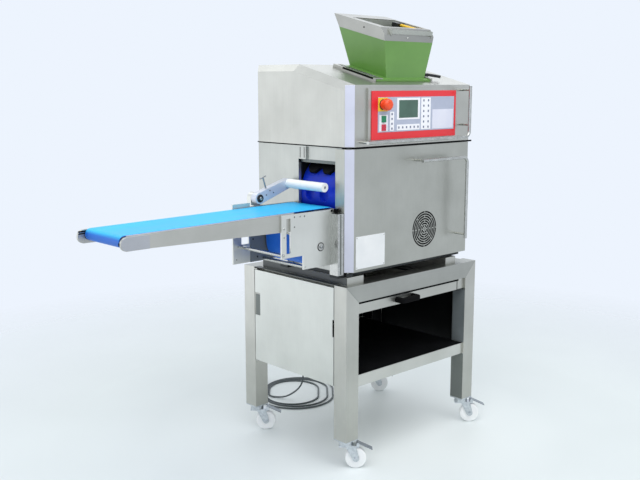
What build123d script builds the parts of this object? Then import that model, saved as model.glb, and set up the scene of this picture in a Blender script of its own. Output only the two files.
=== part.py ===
"""Roll moulder for a bakery: a stainless machine with hopper and discharge belt on a wheeled stand.

Millimetres. The origin is on the floor under the middle of the stand, +X runs to the right along
the front, +Y to the back and +Z up. The front faces -Y and the belt leaves towards -X.
"""
import os
from math import asin, atan2, cos, degrees, hypot, pi, radians, sin, sqrt, tan

from build123d import *

os.makedirs("parts", exist_ok=True)

# Sheet metal and fits
sheet = 2.0
running_clearance = 0.05
slide_clearance = 0.5
swing_gap = 3.0

# Stand
stand_width = 710.0
stand_depth = 555.0
stand_height = 660.0
tube_size = 60.0
tube_wall = 2.0
side_rail_width = 40.0
bearer_height = 27.0
bearer_length = 450.0
bearer_setback = 8.0
left_bearer_width = 80.0
left_bearer_inset = 25.0
right_bearer_width = 58.0
right_bearer_inset = 98.0
shelf_height = 336.0
shelf_fold = 42.0
shelf_setback = 7.5
panel_bottom = 297.0
panel_top_gap = 10.0

# Side door of the stand
side_door_depth = 15.0
side_door_max_gap = 3.0
pivot_diameter = 6.0
pivot_inset_x = 5.0
pivot_inset_y = 8.0
pivot_plate = 3.0
pivot_plate_gap = 2.0
latch_notch_rise = 179.0
latch_notch_height = 86.0
latch_notch_depth = 30.0
finger_slot_rise = 178.0
finger_slot_height = 61.0
finger_slot_depth = 6.0

# Drawer
runner_height = 48.0
runner_wall = 4.0
runner_reach = 16.0
runner_setback = 15.0
filler_width = 39.0
drawer_setback = 9.5
drawer_depth = 416.0
drawer_side_height = 35.0
drawer_side_gap = 2.0
drawer_top_gap = 7.0
pull_width = 102.0
pull_reach = 38.0
pull_thickness = 20.0
pull_bar = 14.0
pull_offset = -48.0
pull_fillet = 6.0

# Castors
caster_height = 101.0
caster_plate = 4.0
caster_angle = -43.0
caster_trail = 35.0
wheel_diameter = 75.0
wheel_width = 25.0
wheel_rim = 9.0
wheel_web = 8.0
wheel_hub_diameter = 26.0
wheel_edge_radius = 4.0
axle_diameter = 8.0
kingpin_diameter = 12.0
swivel_diameter = 50.0
fork_sheet = 3.0
fork_bridge = 5.0
fork_eye_diameter = 24.0
wheel_side_gap = 1.5
wheel_top_gap = 4.0
pedal_reach = 42.0
pedal_rise = 6.0
pedal_length = 52.0
pedal_drop = 24.0
pedal_width = 26.0
pedal_thickness = 3.0
pedal_pin_diameter = 5.0
pedal_barrel_diameter = 10.0
pedal_ear = 3.0

# Machine casing
machine_width = 660.0
machine_depth = 500.0
machine_shift = -13.0
bevel = 24.0
base_thickness = 14.0
base_front_inset = 28.0
base_side_inset = 4.0
lower_height = 426.0
ring_thickness = 4.0
ring_width = 32.0
ring_inset = 8.0
fold_width = 25.0
hood_height = 277.0
hood_front_height = 206.0
slope_run = 276.0

# Discharge opening in the left wall
opening_inset = 72.0
opening_width = 183.0
sill_height = 204.0
lintel_drop = 47.0
lintel_recess = 8.0
guard_drop = 58.0
jamb_width = 38.0
jamb_depth = 12.0

# Front door and its fan
door_gap = 2.0
door_top_gap = 3.0
door_left_return = 68.0
door_right_return = 35.0
door_lip = 20.0
hinge_inset_x = 13.0
hinge_inset_y = 19.0
hinge_pin_diameter = 8.0
hinge_plate = 4.0
hinge_lug_radius = 9.0
fan_x = 61.0
fan_rise = 114.0
fan_size = 119.0
fan_depth = 38.0
fan_wall = 3.0
fan_hub_diameter = 38.0
fan_pin_diameter = 6.0
fan_strut = 6.0
fan_blades = 7
fan_blade_length = 36.0
fan_blade_chord = 24.0
fan_blade_pitch = 35.0
fan_tip_gap = 4.0
grille_diameter = 132.0
grille_rings = 7
grille_slot = 4.6
grille_pitch = 8.6
grille_spoke = 7.0

# Handrails on the front
rail_diameter = 12.0
rail_foot_diameter = 8.0
rail_reach = 50.0
rail_bend = 22.0
rail_overhang = 15.0
door_rail_left = 0.0
door_rail_right = 240.0
door_rail_top = 371.0
door_rail_bottom = 80.0
hood_rail_left = -280.0
hood_rail_right = 247.0
hood_rail_bottom = 16.0
hood_rail_top = 187.0
hood_rail_end = 15.0

# Control panel
panel_left = -250.0
panel_right = 226.0
panel_rise = 12.0
panel_height = 183.0
panel_proud = 8.0
fascia_margin = 9.0
fascia_side_margin = 14.0
fascia_thickness = 3.0
estop_x = -185.0
estop_rise = 140.0
estop_stem_diameter = 22.0
estop_head_diameter = 40.0
estop_head = 22.0
estop_stem = 16.0
key_x = -179.0
start_rise = 91.0
stop_rise = 62.0
key_width = 20.0
key_height = 22.0
key_proud = 5.0
key_gap = 0.1
stem_depth = 4.0
stem_room = 1.0

# Hopper, measured along the hood's slope
hopper_left = -92.0
hopper_right = 113.0
hopper_front = 63.5
hopper_rear = 249.0
hopper_flare_left = 22.0
hopper_flare_right = 29.0
hopper_flare_front = 20.5
hopper_flare_rear = 67.0
hopper_height = 125.0
hopper_wall = 3.0
flange_thickness = 8.0
flange_left = 70.0
flange_right = 11.0
flange_front = 21.5
flange_rear = 4.0
rim_height = 42.0
rim_face = 21.0
rim_lean = 3.5
rim_slant = 24.5
rim_flare_side = 7.0
rim_flare_rear = 30.0
mouth_left = 37.0
mouth_right = 17.0
mouth_front = 13.0
mouth_rear = 66.0
throat_margin = 10.0
guide_thickness = 8.0
guide_lip = 3.0
guide_side_gap = 2.0
guide_left_reach = 34.0
guide_right_reach = 8.0
latch_length = 58.0
latch_width = 13.0
latch_thickness = 9.0
latch_pin_diameter = 10.0
latch_post_diameter = 18.0
latch_along = 88.0
latch_turn = -40.0
probe_width = 46.0
probe_length = 30.0
probe_height = 22.0
probe_bar_diameter = 10.0
probe_bar_length = 96.0
probe_bar_inset = 30.0
probe_bar_drop = 6.0
probe_setback = 60.0

# Moulding drum, shoe and feed
chamber_inset = 66.0
chamber_length = 199.0
bearing_plate = 10.0
front_plate_inset = 75.0
plate_right = 286.0
drum_wall_gap = 14.0
drum_rise = 252.0
drum_diameter = 296.0
drum_end_gap = 7.0
drum_journal_diameter = 40.0
cup_diameter = 46.0
cup_depth = 14.0
cup_rows = 2
cup_pitch = 71.0
cup_offset = 9.5
cups_around = 6
cup_angle = 178.0
shoe_gap = 1.5
shoe_thickness = 11.5
shoe_start = 62.0
shoe_end = 142.0
lobe_end = 149.4
lobe_width = 60.0
lobe_tip_width = 25.0
shoe_end_gap = 9.0
shoe_rear_gap = 26.0
shoe_rod_diameter = 16.0
shoe_hub_diameter = 26.0
shoe_rod_offset = 19.0
shoe_rod_rise = 14.0
feed_x = 10.0
feed_rise = 569.0
feed_diameter = 84.0
feed_spacing = 96.0
feed_end_gap = 3.0
feed_journal_diameter = 24.0
feed_flutes = 12
feed_flute_diameter = 12.0
cheek_width = 240.0
cheek_head = 55.0
chute_wall = 4.0
chute_gap = 8.0
chute_left_angle = 55.0
chute_right_angle = 30.0
gear_teeth = 24
gear_width = 14.0
gear_gap = 6.0
gearbox_width = 120.0
gearbox_height = 130.0
gearbox_depth = 96.0
motor_diameter = 110.0
motor_length = 230.0

# Discharge belt, measured outwards from the left wall and up from the casing's bottom
belt_inset = 77.0
belt_width = 190.0
belt_thickness = 2.0
belt_clearance = 0.3
head_out = 17.0
head_rise = 211.0
head_diameter = 24.0
nose_out = 816.0
nose_rise = 201.0
nose_diameter = 32.0
snub_out = 156.0
snub_rise = 151.0
snub_diameter = 24.0
drive_out = 73.0
drive_rise = 97.0
drive_diameter = 130.0
roller_shaft_diameter = 12.0
drive_shaft_diameter = 20.0
rail_gap = 3.0
rail_plate = 6.0
rail_inner_out = 180.0
rail_drop = 4.0
rail_deep = 58.0
rail_shallow = 41.0
nose_block_length = 95.0
rear_block_extra = 22.0
nose_block_proud = 2.0
bed_thickness = 4.0
bed_gap = 1.0
bed_start = 40.0
bed_end_gap = 30.0
side_plate = 6.0
plate_inner_out = 5.0
plate_top = 220.0
plate_bottom = 29.0
front_plate_out = 247.0
front_plate_knee = 152.0
front_plate_strip = 77.0
front_leg_width = 21.0
front_window_width = 18.0
front_window_bottom = 91.0
front_window_top = 207.0
rear_plate_out = 280.0
rear_plate_top = 238.0
rear_plate_step_out = 205.0
rear_plate_low_top = 225.0
rear_plate_bottom = 32.0
rear_window_out = 244.0
rear_window_width = 32.0
rear_window_bottom = 97.0
rear_window_top = 122.0
tie_diameter = 12.0
tie_places = ((242.0, 88.0), (147.0, 38.0))
post_width = 28.0
post_out = 3.0
post_depth = 39.0
post_top = 207.0
post_foot = 10.0

# Press roller on its arm
arm_out = 160.0
arm_rise = 249.0
arm_length = 138.0
arm_angle = 18.2
arm_hub_radius = 20.0
arm_tip_radius = 17.0
arm_thickness = 26.0
arm_pin_diameter = 12.0
arm_belt_gap = 8.0
arm_bracket_depth = 22.0
arm_bracket_width = 40.0
arm_bracket_height = 46.0
arm_gap = 0.5
press_diameter = 32.0
press_length = 186.0
press_gap = 0.3
press_shaft_diameter = 10.0
clamp_along = 44.0
clamp_diameter = 6.0
clamp_reach = 60.0
clamp_bar_length = 28.0
clamp_bar_diameter = 5.0

# Mains lead
cable_diameter = 7.0
floor_gap = 0.5
gland_x = -12.0
gland_rise = 69.0
gland_diameter = 30.0
gland_nut = 10.0
boot_length = 38.0
boot_diameter = 22.0
boot_tip_diameter = 13.0
coil_middle = (25.0, 408.0)
coil_angle = -43.1
coil_left = (-122.0, -130.0, -138.0, -167.0)
coil_right = (94.0, 133.0, 157.0)
coil_far = 98.0
coil_near = 12.0
coil_start = 46.0
coil_lead = 10.0
plug_diameter = 44.0
plug_length = 70.0
plug_boot = 30.0
plug_climb = 45.0
plug_pins = 4
plug_pin_diameter = 5.0
plug_pin_length = 19.0
plug_pin_circle = 22.0

# Places that follow from the sizes above
half_width = stand_width / 2
half_depth = stand_depth / 2
inner_x = half_width - tube_size
inner_y = half_depth - tube_size
leg_x = half_width - tube_size / 2
leg_y = half_depth - tube_size / 2
rail_bottom = stand_height - tube_size
leg_bottom = caster_height + caster_plate
panel_top = stand_height - panel_top_gap
base_bottom = stand_height + bearer_height
casing_bottom = base_bottom + base_thickness
shell_top = casing_bottom + lower_height
hood_bottom = shell_top + ring_thickness
hood_top = hood_bottom + hood_height
slope_start = hood_bottom + hood_front_height
wall_left = -machine_width / 2
wall_right = machine_width / 2
machine_front = machine_shift - machine_depth / 2
machine_rear = machine_shift + machine_depth / 2
slope_end = machine_front + slope_run
opening_front = machine_front + opening_inset
opening_rear = opening_front + opening_width
chamber_front = machine_front + chamber_inset
chamber_rear = chamber_front + chamber_length
front_plate_left = wall_left + front_plate_inset
slope_angle = atan2(hood_top - slope_start, slope_run)
slope_up = (0, -sin(slope_angle), cos(slope_angle))
door_bottom = casing_bottom + door_gap
door_top = shell_top - door_top_gap
hinge_x = wall_left + hinge_inset_x
hinge_y = machine_front + hinge_inset_y
estop_z = hood_bottom + estop_rise
drum_z = casing_bottom + drum_rise
drum_radius = drum_diameter / 2
drum_x = wall_left + drum_wall_gap + drum_radius
feed_z = casing_bottom + feed_rise
belt_front = machine_front + belt_inset
belt_rear = belt_front + belt_width
arm_front = belt_rear + arm_belt_gap
rail_front_out = belt_front - rail_gap - rail_plate
rail_rear_out = belt_rear + rail_gap + rail_plate
plates_front = rail_front_out - side_plate
plates_rear = rail_rear_out + side_plate
cable_radius = cable_diameter / 2


def block(x_span, y_span, z_span, mode=Mode.ADD):
    """Box between two limits on each axis."""
    spans = (x_span, y_span, z_span)
    middle = tuple((low + high) / 2 for low, high in spans)
    with Locations(middle):
        Box(*(high - low for low, high in spans), mode=mode)


def rod(start, axis, diameter, length, mode=Mode.ADD):
    """Round bar from a start point along an axis."""
    with BuildSketch(Plane(origin=start, z_dir=axis)) as section:
        Circle(diameter / 2)
    extrude(section.sketch, amount=length, mode=mode)


def rod_y(x, z, diameter, y_span, mode=Mode.ADD):
    """Round bar along Y between two limits."""
    rod((x, y_span[0], z), (0, 1, 0), diameter, y_span[1] - y_span[0], mode)


def plate_y(points, y_span, mode=Mode.ADD):
    """Plate between two Y limits, with its outline given in X and Z."""
    with BuildSketch(Plane.XZ.offset(-y_span[1])) as outline:
        with BuildLine():
            Polyline(*points, close=True)
        make_face()
    extrude(outline.sketch, amount=y_span[1] - y_span[0], mode=mode)


def casing_plan(level, inset=0.0, rim=0.0):
    """Plan of the casing with bevelled corners at a level, moved in by an inset; a rim leaves it open."""
    left, right = wall_left + inset, wall_right - inset
    front, rear = machine_front + inset, machine_rear - inset
    cut = bevel - inset * (2 - sqrt(2))
    with BuildSketch(Plane.XY.offset(level)) as plan:
        with BuildLine():
            Polyline(
                (left, front + cut), (left + cut, front), (right - cut, front), (right, front + cut),
                (right, rear - cut), (right - cut, rear), (left + cut, rear), (left, rear - cut),
                close=True,
            )
        make_face()
        if rim:
            with Locations((0, machine_shift)):
                Rectangle(machine_width - 2 * rim, machine_depth - 2 * rim, mode=Mode.SUBTRACT)
    return plan.sketch


def on_slope(height):
    """Plane above the hood's slope: X across, Y up the slope from the hood's front edge."""
    lift = Vector(*slope_up) * height
    return Plane(origin=Vector(0, machine_front, slope_start) + lift, x_dir=(1, 0, 0), z_dir=slope_up)


def slope_block(x_span, s_span, h_span, mode=Mode.ADD):
    """Box above the hood's slope: across, up the slope and away from it."""
    with BuildSketch(on_slope(h_span[0])) as section:
        with Locations(((x_span[0] + x_span[1]) / 2, (s_span[0] + s_span[1]) / 2)):
            Rectangle(x_span[1] - x_span[0], s_span[1] - s_span[0])
    extrude(section.sketch, amount=h_span[1] - h_span[0], mode=mode)


def beside(out, rise):
    """X and Z of a place beside the left wall, from its distance outwards and its rise."""
    return wall_left - out, casing_bottom + rise


def save(piece, name):
    """Label a finished piece and write it under its name."""
    piece.part.label = name
    export_step(piece.part, f"parts/{name}.step")


# Stand: legs and rails are mitred at the top corners of the front and rear frames
with BuildPart() as stand_legs:
    with BuildSketch(Plane.XY.offset(leg_bottom)):
        with GridLocations(2 * leg_x, 2 * leg_y, 2, 2):
            Rectangle(tube_size, tube_size)
            Rectangle(tube_size - 2 * tube_wall, tube_size - 2 * tube_wall, mode=Mode.SUBTRACT)
    extrude(amount=stand_height - leg_bottom)
    for side in (-1, 1):
        mitre_inner = side * inner_x
        mitre = ((mitre_inner, rail_bottom), (side * half_width, stand_height), (mitre_inner, stand_height))
        plate_y(mitre, (-half_depth, half_depth), mode=Mode.SUBTRACT)
save(stand_legs, "stand_legs")

with BuildPart() as stand_rails:
    trapezium = (
        (-half_width, stand_height), (half_width, stand_height),
        (inner_x, rail_bottom), (-inner_x, rail_bottom),
    )
    for y_low in (-half_depth, inner_y):
        plate_y(trapezium, (y_low, y_low + tube_size))
        block(
            (-half_width, half_width),
            (y_low + tube_wall, y_low + tube_size - tube_wall),
            (rail_bottom + tube_wall, stand_height - tube_wall),
            mode=Mode.SUBTRACT,
        )
    for x_low in (-inner_x - side_rail_width, inner_x):
        rail_x = (x_low, x_low + side_rail_width)
        block(rail_x, (-inner_y, inner_y), (rail_bottom, stand_height))
        bore_x = (rail_x[0] + tube_wall, rail_x[1] - tube_wall)
        bore_z = (rail_bottom + tube_wall, stand_height - tube_wall)
        block(bore_x, (-inner_y, inner_y), bore_z, mode=Mode.SUBTRACT)
save(stand_rails, "stand_rails")

left_bearer = left_bearer_inset - half_width
right_bearer = half_width - right_bearer_inset
with BuildPart() as bearer_bars:
    bearer_front = machine_front + bearer_setback
    bearer_y = (bearer_front, bearer_front + bearer_length)
    for x_low, x_high in (
        (left_bearer, left_bearer + left_bearer_width),
        (right_bearer - right_bearer_width, right_bearer),
    ):
        block((x_low, x_high), bearer_y, (stand_height, base_bottom))
        block(
            (x_low + tube_wall, x_high - tube_wall),
            (bearer_y[0] + tube_wall, bearer_y[1]),
            (stand_height + tube_wall, base_bottom - tube_wall),
            mode=Mode.SUBTRACT,
        )
save(bearer_bars, "bearer_bars")

with BuildPart() as stand_shelf:
    shelf_y = half_depth - shelf_setback
    block((-inner_x, inner_x), (-shelf_y, shelf_y), (shelf_height - shelf_fold, shelf_height))
    block(
        (-inner_x + sheet, inner_x - sheet),
        (-shelf_y + sheet, shelf_y - sheet),
        (shelf_height - shelf_fold, shelf_height - sheet),
        mode=Mode.SUBTRACT,
    )
save(stand_shelf, "stand_shelf")

with BuildPart() as stand_panels:
    block((half_width - sheet, half_width), (-inner_y, inner_y), (panel_bottom, panel_top))
    block((-inner_x, inner_x), (half_depth - sheet, half_depth), (panel_bottom, rail_bottom))
save(stand_panels, "stand_panels")

# Side door of the stand, a tray of sheet that turns on two pins beside the rear leg
pivot_x = -half_width + pivot_inset_x
pivot_y = inner_y - pivot_inset_y
door_rear = inner_y - side_door_max_gap
door_front = -inner_y + side_door_max_gap
notch_z = (panel_bottom + latch_notch_rise, panel_bottom + latch_notch_rise + latch_notch_height)
slot_z = (panel_bottom + finger_slot_rise, panel_bottom + finger_slot_rise + finger_slot_height)
pin_reach = sheet + pivot_plate_gap + pivot_plate
with BuildPart() as side_door:
    door_x = (-half_width, -half_width + side_door_depth)
    block(door_x, (door_front, door_rear), (panel_bottom, panel_top))
    block(
        (door_x[0] + sheet, door_x[1]),
        (door_front + sheet, door_rear),
        (panel_bottom + sheet, panel_top - sheet),
        mode=Mode.SUBTRACT,
    )
    block(door_x, (door_rear - latch_notch_depth, door_rear), notch_z, mode=Mode.SUBTRACT)
    block(door_x, (door_front, door_front + finger_slot_depth), slot_z, mode=Mode.SUBTRACT)
    rod((pivot_x, pivot_y, panel_top - sheet), (0, 0, 1), pivot_diameter, pin_reach)
    rod((pivot_x, pivot_y, panel_bottom + sheet), (0, 0, -1), pivot_diameter, pin_reach)
save(side_door, "side_door")

with BuildPart() as door_pivots:
    bracket_x = (-half_width, pivot_x + 2 * pivot_inset_x)
    bracket_y = (pivot_y - pivot_inset_y, inner_y)
    upper_low = panel_top + pivot_plate_gap
    lower_high = panel_bottom - pivot_plate_gap
    for low in (upper_low, lower_high - pivot_plate):
        block(bracket_x, bracket_y, (low, low + pivot_plate))
        bore = pivot_diameter + 2 * running_clearance
        rod((pivot_x, pivot_y, low), (0, 0, 1), bore, pivot_plate, mode=Mode.SUBTRACT)
    keeper_y = (door_rear - latch_notch_depth + sheet, inner_y)
    keeper_z = (notch_z[0] + sheet, notch_z[1] - sheet)
    block((-half_width + sheet, -half_width + 2 * sheet), keeper_y, keeper_z)
save(door_pivots, "door_pivots")

# Drawer under the front rail: a runner on the left leg and a closed beam on the right one
runner_bottom = rail_bottom - runner_height
ledge_top = runner_bottom + runner_wall
beam_left = inner_x - filler_width
drawer_face = -half_depth + drawer_setback
runner_y = (-half_depth + runner_setback, half_depth - runner_setback)
with BuildPart() as drawer_runners:
    block((-inner_x, -inner_x + runner_wall), runner_y, (runner_bottom, rail_bottom))
    block((-inner_x, -inner_x + runner_wall + runner_reach), runner_y, (runner_bottom, ledge_top))
    block((beam_left, inner_x), (drawer_face, runner_y[1]), (runner_bottom, rail_bottom))
    block((beam_left - runner_reach, beam_left), runner_y, (runner_bottom, ledge_top))
save(drawer_runners, "drawer_runners")

tray_bottom = ledge_top + slide_clearance
tray_x = (-inner_x + runner_wall + drawer_side_gap, beam_left - drawer_side_gap)
tray_y = (drawer_face, drawer_face + drawer_depth)
with BuildPart() as drawer_tray:
    block(tray_x, tray_y, (tray_bottom, tray_bottom + drawer_side_height))
    block(
        (tray_x[0] + sheet, tray_x[1] - sheet),
        (tray_y[0] + sheet, tray_y[1] - sheet),
        (tray_bottom + sheet, tray_bottom + drawer_side_height),
        mode=Mode.SUBTRACT,
    )
    front_x = (-inner_x + drawer_side_gap, beam_left - drawer_side_gap)
    block(front_x, (drawer_face, drawer_face + sheet), (tray_bottom, rail_bottom - drawer_top_gap))
save(drawer_tray, "drawer_tray")

pull_z = (tray_bottom + rail_bottom - drawer_top_gap) / 2
with BuildPart() as drawer_pull:
    block(
        (pull_offset - pull_width / 2, pull_offset + pull_width / 2),
        (drawer_face - pull_reach, drawer_face),
        (pull_z - pull_thickness / 2, pull_z + pull_thickness / 2),
    )
    corners = drawer_pull.edges().filter_by(Axis.Z).group_by(Axis.Y)[0]
    fillet(corners, pull_bar)
    with BuildSketch(Plane.XY.offset(pull_z - pull_thickness / 2)):
        with Locations((pull_offset, drawer_face - (pull_reach - pull_bar) / 2)):
            Rectangle(pull_width - 2 * pull_bar, pull_reach - pull_bar)
    extrude(amount=pull_thickness, mode=Mode.SUBTRACT)
    bow = drawer_pull.faces().sort_by(Axis.Y)[0]
    fillet(bow.edges().filter_by(Axis.X), pull_fillet)
save(drawer_pull, "drawer_pull")

# Castors: plate on the leg, swivel fork with its axle, wheel and brake pedal
with BuildPart() as caster_plates:
    with BuildSketch(Plane.XY.offset(caster_height)):
        with GridLocations(2 * leg_x, 2 * leg_y, 2, 2):
            Rectangle(tube_size, tube_size)
            Circle(kingpin_diameter / 2 + running_clearance, mode=Mode.SUBTRACT)
    extrude(amount=caster_plate)
save(caster_plates, "caster_plates")

wheel_radius = wheel_diameter / 2
bridge_bottom = wheel_diameter + wheel_top_gap
bridge_top = bridge_bottom + fork_bridge
fork_half = wheel_width / 2 + wheel_side_gap
ear_half = pedal_width / 2 + slide_clearance
pedal_z = bridge_top + pedal_rise
bridge_rear = -swivel_diameter / 2
bridge_front = pedal_reach + pedal_barrel_diameter / 2
for tag, x_side, y_side in (("fl", -1, -1), ("fr", 1, -1), ("rl", -1, 1), ("rr", 1, 1)):
    swivel = Plane(
        origin=(x_side * leg_x, y_side * leg_y, 0),
        x_dir=(cos(radians(caster_angle)), sin(radians(caster_angle)), 0),
        z_dir=(0, 0, 1),
    )
    across = swivel.y_dir

    with BuildPart() as fork:
        swivel_foot = swivel.from_local_coords((0, 0, bridge_top))
        rod(swivel_foot, (0, 0, 1), swivel_diameter, caster_height - bridge_top)
        rod(swivel.from_local_coords((0, 0, caster_height)), (0, 0, 1), kingpin_diameter, caster_plate)
        with BuildSketch(swivel.offset(bridge_bottom)):
            with Locations(((bridge_rear + bridge_front) / 2, 0)):
                Rectangle(bridge_front - bridge_rear, 2 * (fork_half + fork_sheet))
        extrude(amount=fork_bridge)
        for low in (-fork_half - fork_sheet, fork_half):
            cheek_top = swivel.from_local_coords((0, low + fork_sheet, 0))
            with BuildSketch(Plane(origin=cheek_top, x_dir=swivel.x_dir, z_dir=-across)) as cheek:
                with Locations((caster_trail, wheel_radius)):
                    Circle(fork_eye_diameter / 2)
                with Locations((caster_trail / 2, bridge_bottom + fork_bridge / 2)):
                    Rectangle(caster_trail, fork_bridge)
                make_hull()
            extrude(amount=fork_sheet)
        axle_end = swivel.from_local_coords((caster_trail, -fork_half, wheel_radius))
        rod(axle_end, across, axle_diameter, 2 * fork_half)
        for low in (-ear_half - pedal_ear, ear_half):
            ear_top = swivel.from_local_coords((0, low + pedal_ear, 0))
            with BuildSketch(Plane(origin=ear_top, x_dir=swivel.x_dir, z_dir=-across)) as ear:
                with Locations((pedal_reach, pedal_z)):
                    Circle(pedal_barrel_diameter / 2)
                with Locations((pedal_reach, (bridge_top + pedal_z) / 2)):
                    Rectangle(pedal_barrel_diameter, pedal_z - bridge_top)
            extrude(amount=pedal_ear)
        pin_end = swivel.from_local_coords((pedal_reach, -ear_half, pedal_z))
        rod(pin_end, across, pedal_pin_diameter, 2 * ear_half)
    save(fork, f"caster_fork_{tag}")

    with BuildPart() as wheel:
        hub_plane = Plane(
            origin=swivel.from_local_coords((caster_trail, 0, wheel_radius)), x_dir=swivel.x_dir, z_dir=across
        )
        with BuildSketch(hub_plane):
            Circle(wheel_radius)
            Circle(wheel_radius - wheel_rim, mode=Mode.SUBTRACT)
        extrude(amount=wheel_width / 2, both=True)
        fillet(wheel.edges().filter_by(GeomType.CIRCLE).group_by(SortBy.RADIUS)[-1], wheel_edge_radius)
        with BuildSketch(hub_plane):
            Circle(wheel_radius - wheel_rim)
        extrude(amount=wheel_web / 2, both=True)
        with BuildSketch(hub_plane):
            Circle(wheel_hub_diameter / 2)
        extrude(amount=wheel_width / 2, both=True)
        with BuildSketch(hub_plane):
            Circle(axle_diameter / 2 + running_clearance)
        extrude(amount=wheel_width, both=True, mode=Mode.SUBTRACT)
    save(wheel, f"caster_wheel_{tag}")

    with BuildPart() as pedal:
        pedal_side = Plane(
            origin=swivel.from_local_coords((0, pedal_width / 2, 0)), x_dir=swivel.x_dir, z_dir=-across
        )
        with BuildSketch(pedal_side):
            with Locations((pedal_reach, pedal_z)):
                Circle(pedal_barrel_diameter / 2)
            with BuildLine():
                tongue_top = pedal_z + pedal_barrel_diameter / 2
                tip_top = tongue_top - pedal_drop
                Polyline(
                    (pedal_reach, tongue_top), (pedal_reach + pedal_length, tip_top),
                    (pedal_reach + pedal_length, tip_top - pedal_thickness),
                    (pedal_reach, tongue_top - pedal_thickness),
                    close=True,
                )
            make_face()
            with Locations((pedal_reach, pedal_z)):
                Circle(pedal_pin_diameter / 2 + running_clearance, mode=Mode.SUBTRACT)
        extrude(amount=pedal_width)
    save(pedal, f"caster_pedal_{tag}")

# Chassis: base, two bearing plates with feed cheeks, the ring under the hood, chutes and a guide rod
front_bearing = (chamber_front - bearing_plate, chamber_front)
rear_bearing = (chamber_rear, chamber_rear + bearing_plate)
chamber = (chamber_front, chamber_rear)
feed_axes = (feed_x - feed_spacing / 2, feed_x + feed_spacing / 2)
shoe_rod_x = drum_x + shoe_rod_offset
shoe_rod_z = drum_z + drum_radius + shoe_rod_rise
base_x = wall_right - base_side_inset
foot_x = (wall_left - post_out - post_width, -base_x)
foot_z = (base_bottom, casing_bottom - post_foot / 2)
front_post_y = (plates_front - post_depth, plates_front)
rear_post_y = (plates_rear, plates_rear + post_depth)
with BuildPart() as chassis:
    front_x = base_x - fold_width
    base_z = (base_bottom, casing_bottom)
    block((-base_x, base_x), (chamber_front, machine_rear - base_side_inset), base_z)
    block((-front_x, front_x), (machine_front + base_front_inset, chamber_front), base_z)
    lug_z = (base_bottom, casing_bottom - door_gap)
    block((hinge_x, -front_x), (hinge_y - hinge_lug_radius, chamber_front), lug_z)
    rod((hinge_x, hinge_y, lug_z[0]), (0, 0, 1), 2 * hinge_lug_radius, lug_z[1] - lug_z[0])
    block((foot_x[0], -front_x), front_post_y, foot_z)
    block((foot_x[0], -front_x), rear_post_y, foot_z)
    plate_bottom_z = casing_bottom
    block((front_plate_left, plate_right), front_bearing, (plate_bottom_z, shell_top))
    ring_out = wall_right - ring_inset
    rear_plate_x = wall_right - fold_width - swing_gap
    block((-rear_plate_x, rear_plate_x), rear_bearing, (plate_bottom_z, shell_top))
    for wall_y in (front_bearing, rear_bearing):
        cheek_x = (feed_x - cheek_width / 2, feed_x + cheek_width / 2)
        block(cheek_x, wall_y, (shell_top, feed_z + cheek_head))
    ring_y = (front_bearing[0] - ring_inset, machine_rear - ring_inset)
    ring_open = (chamber_front, ring_y[1] - ring_width)
    with BuildSketch(Plane.XY.offset(shell_top)):
        with Locations((0, (ring_y[0] + ring_y[1]) / 2)):
            Rectangle(2 * ring_out, ring_y[1] - ring_y[0])
        with Locations((0, (ring_open[0] + ring_open[1]) / 2)):
            Rectangle(2 * (ring_out - ring_width), ring_open[1] - ring_open[0], mode=Mode.SUBTRACT)
    extrude(amount=ring_thickness)
    block((hinge_x, hinge_x + ring_width), (hinge_y - hinge_lug_radius, ring_y[0]), (shell_top, hood_bottom))
    rod((hinge_x, hinge_y, shell_top), (0, 0, 1), 2 * hinge_lug_radius, ring_thickness)
    for low, high in (lug_z, (shell_top, hood_bottom)):
        bore = hinge_pin_diameter + 2 * running_clearance
        rod((hinge_x, hinge_y, low), (0, 0, 1), bore, high - low, mode=Mode.SUBTRACT)
    rod_y(shoe_rod_x, shoe_rod_z, shoe_rod_diameter, chamber)
    for side in (-1, 1):
        guide_x = feed_x + side * (feed_spacing / 2 + feed_diameter / 2 + 2 * chute_wall)
        block((guide_x - chute_wall / 2, guide_x + chute_wall / 2), chamber, (feed_z, feed_z + cheek_head))
    slide_top = feed_z - feed_diameter / 2 - chute_wall
    slide_out = drum_radius + chute_gap
    slide_ends = (
        (feed_axes[0] - feed_diameter / 4, radians(chute_left_angle)),
        (feed_axes[1] + feed_diameter / 4, radians(chute_right_angle)),
    )
    for slide_x, angle in slide_ends:
        slide_foot = (drum_x + slide_out * cos(angle), drum_z + slide_out * sin(angle))
        plate_y(
            (
                (slide_x, slide_top), (slide_x + chute_wall, slide_top),
                (slide_foot[0] + chute_wall, slide_foot[1]), slide_foot,
            ),
            chamber,
        )
    for wall_y in (front_bearing, rear_bearing):
        bore = drum_journal_diameter + 2 * running_clearance
        rod_y(drum_x, drum_z, bore, wall_y, mode=Mode.SUBTRACT)
        for axis_x in feed_axes:
            bore = feed_journal_diameter + 2 * running_clearance
            rod_y(axis_x, feed_z, bore, wall_y, mode=Mode.SUBTRACT)
save(chassis, "chassis")

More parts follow.
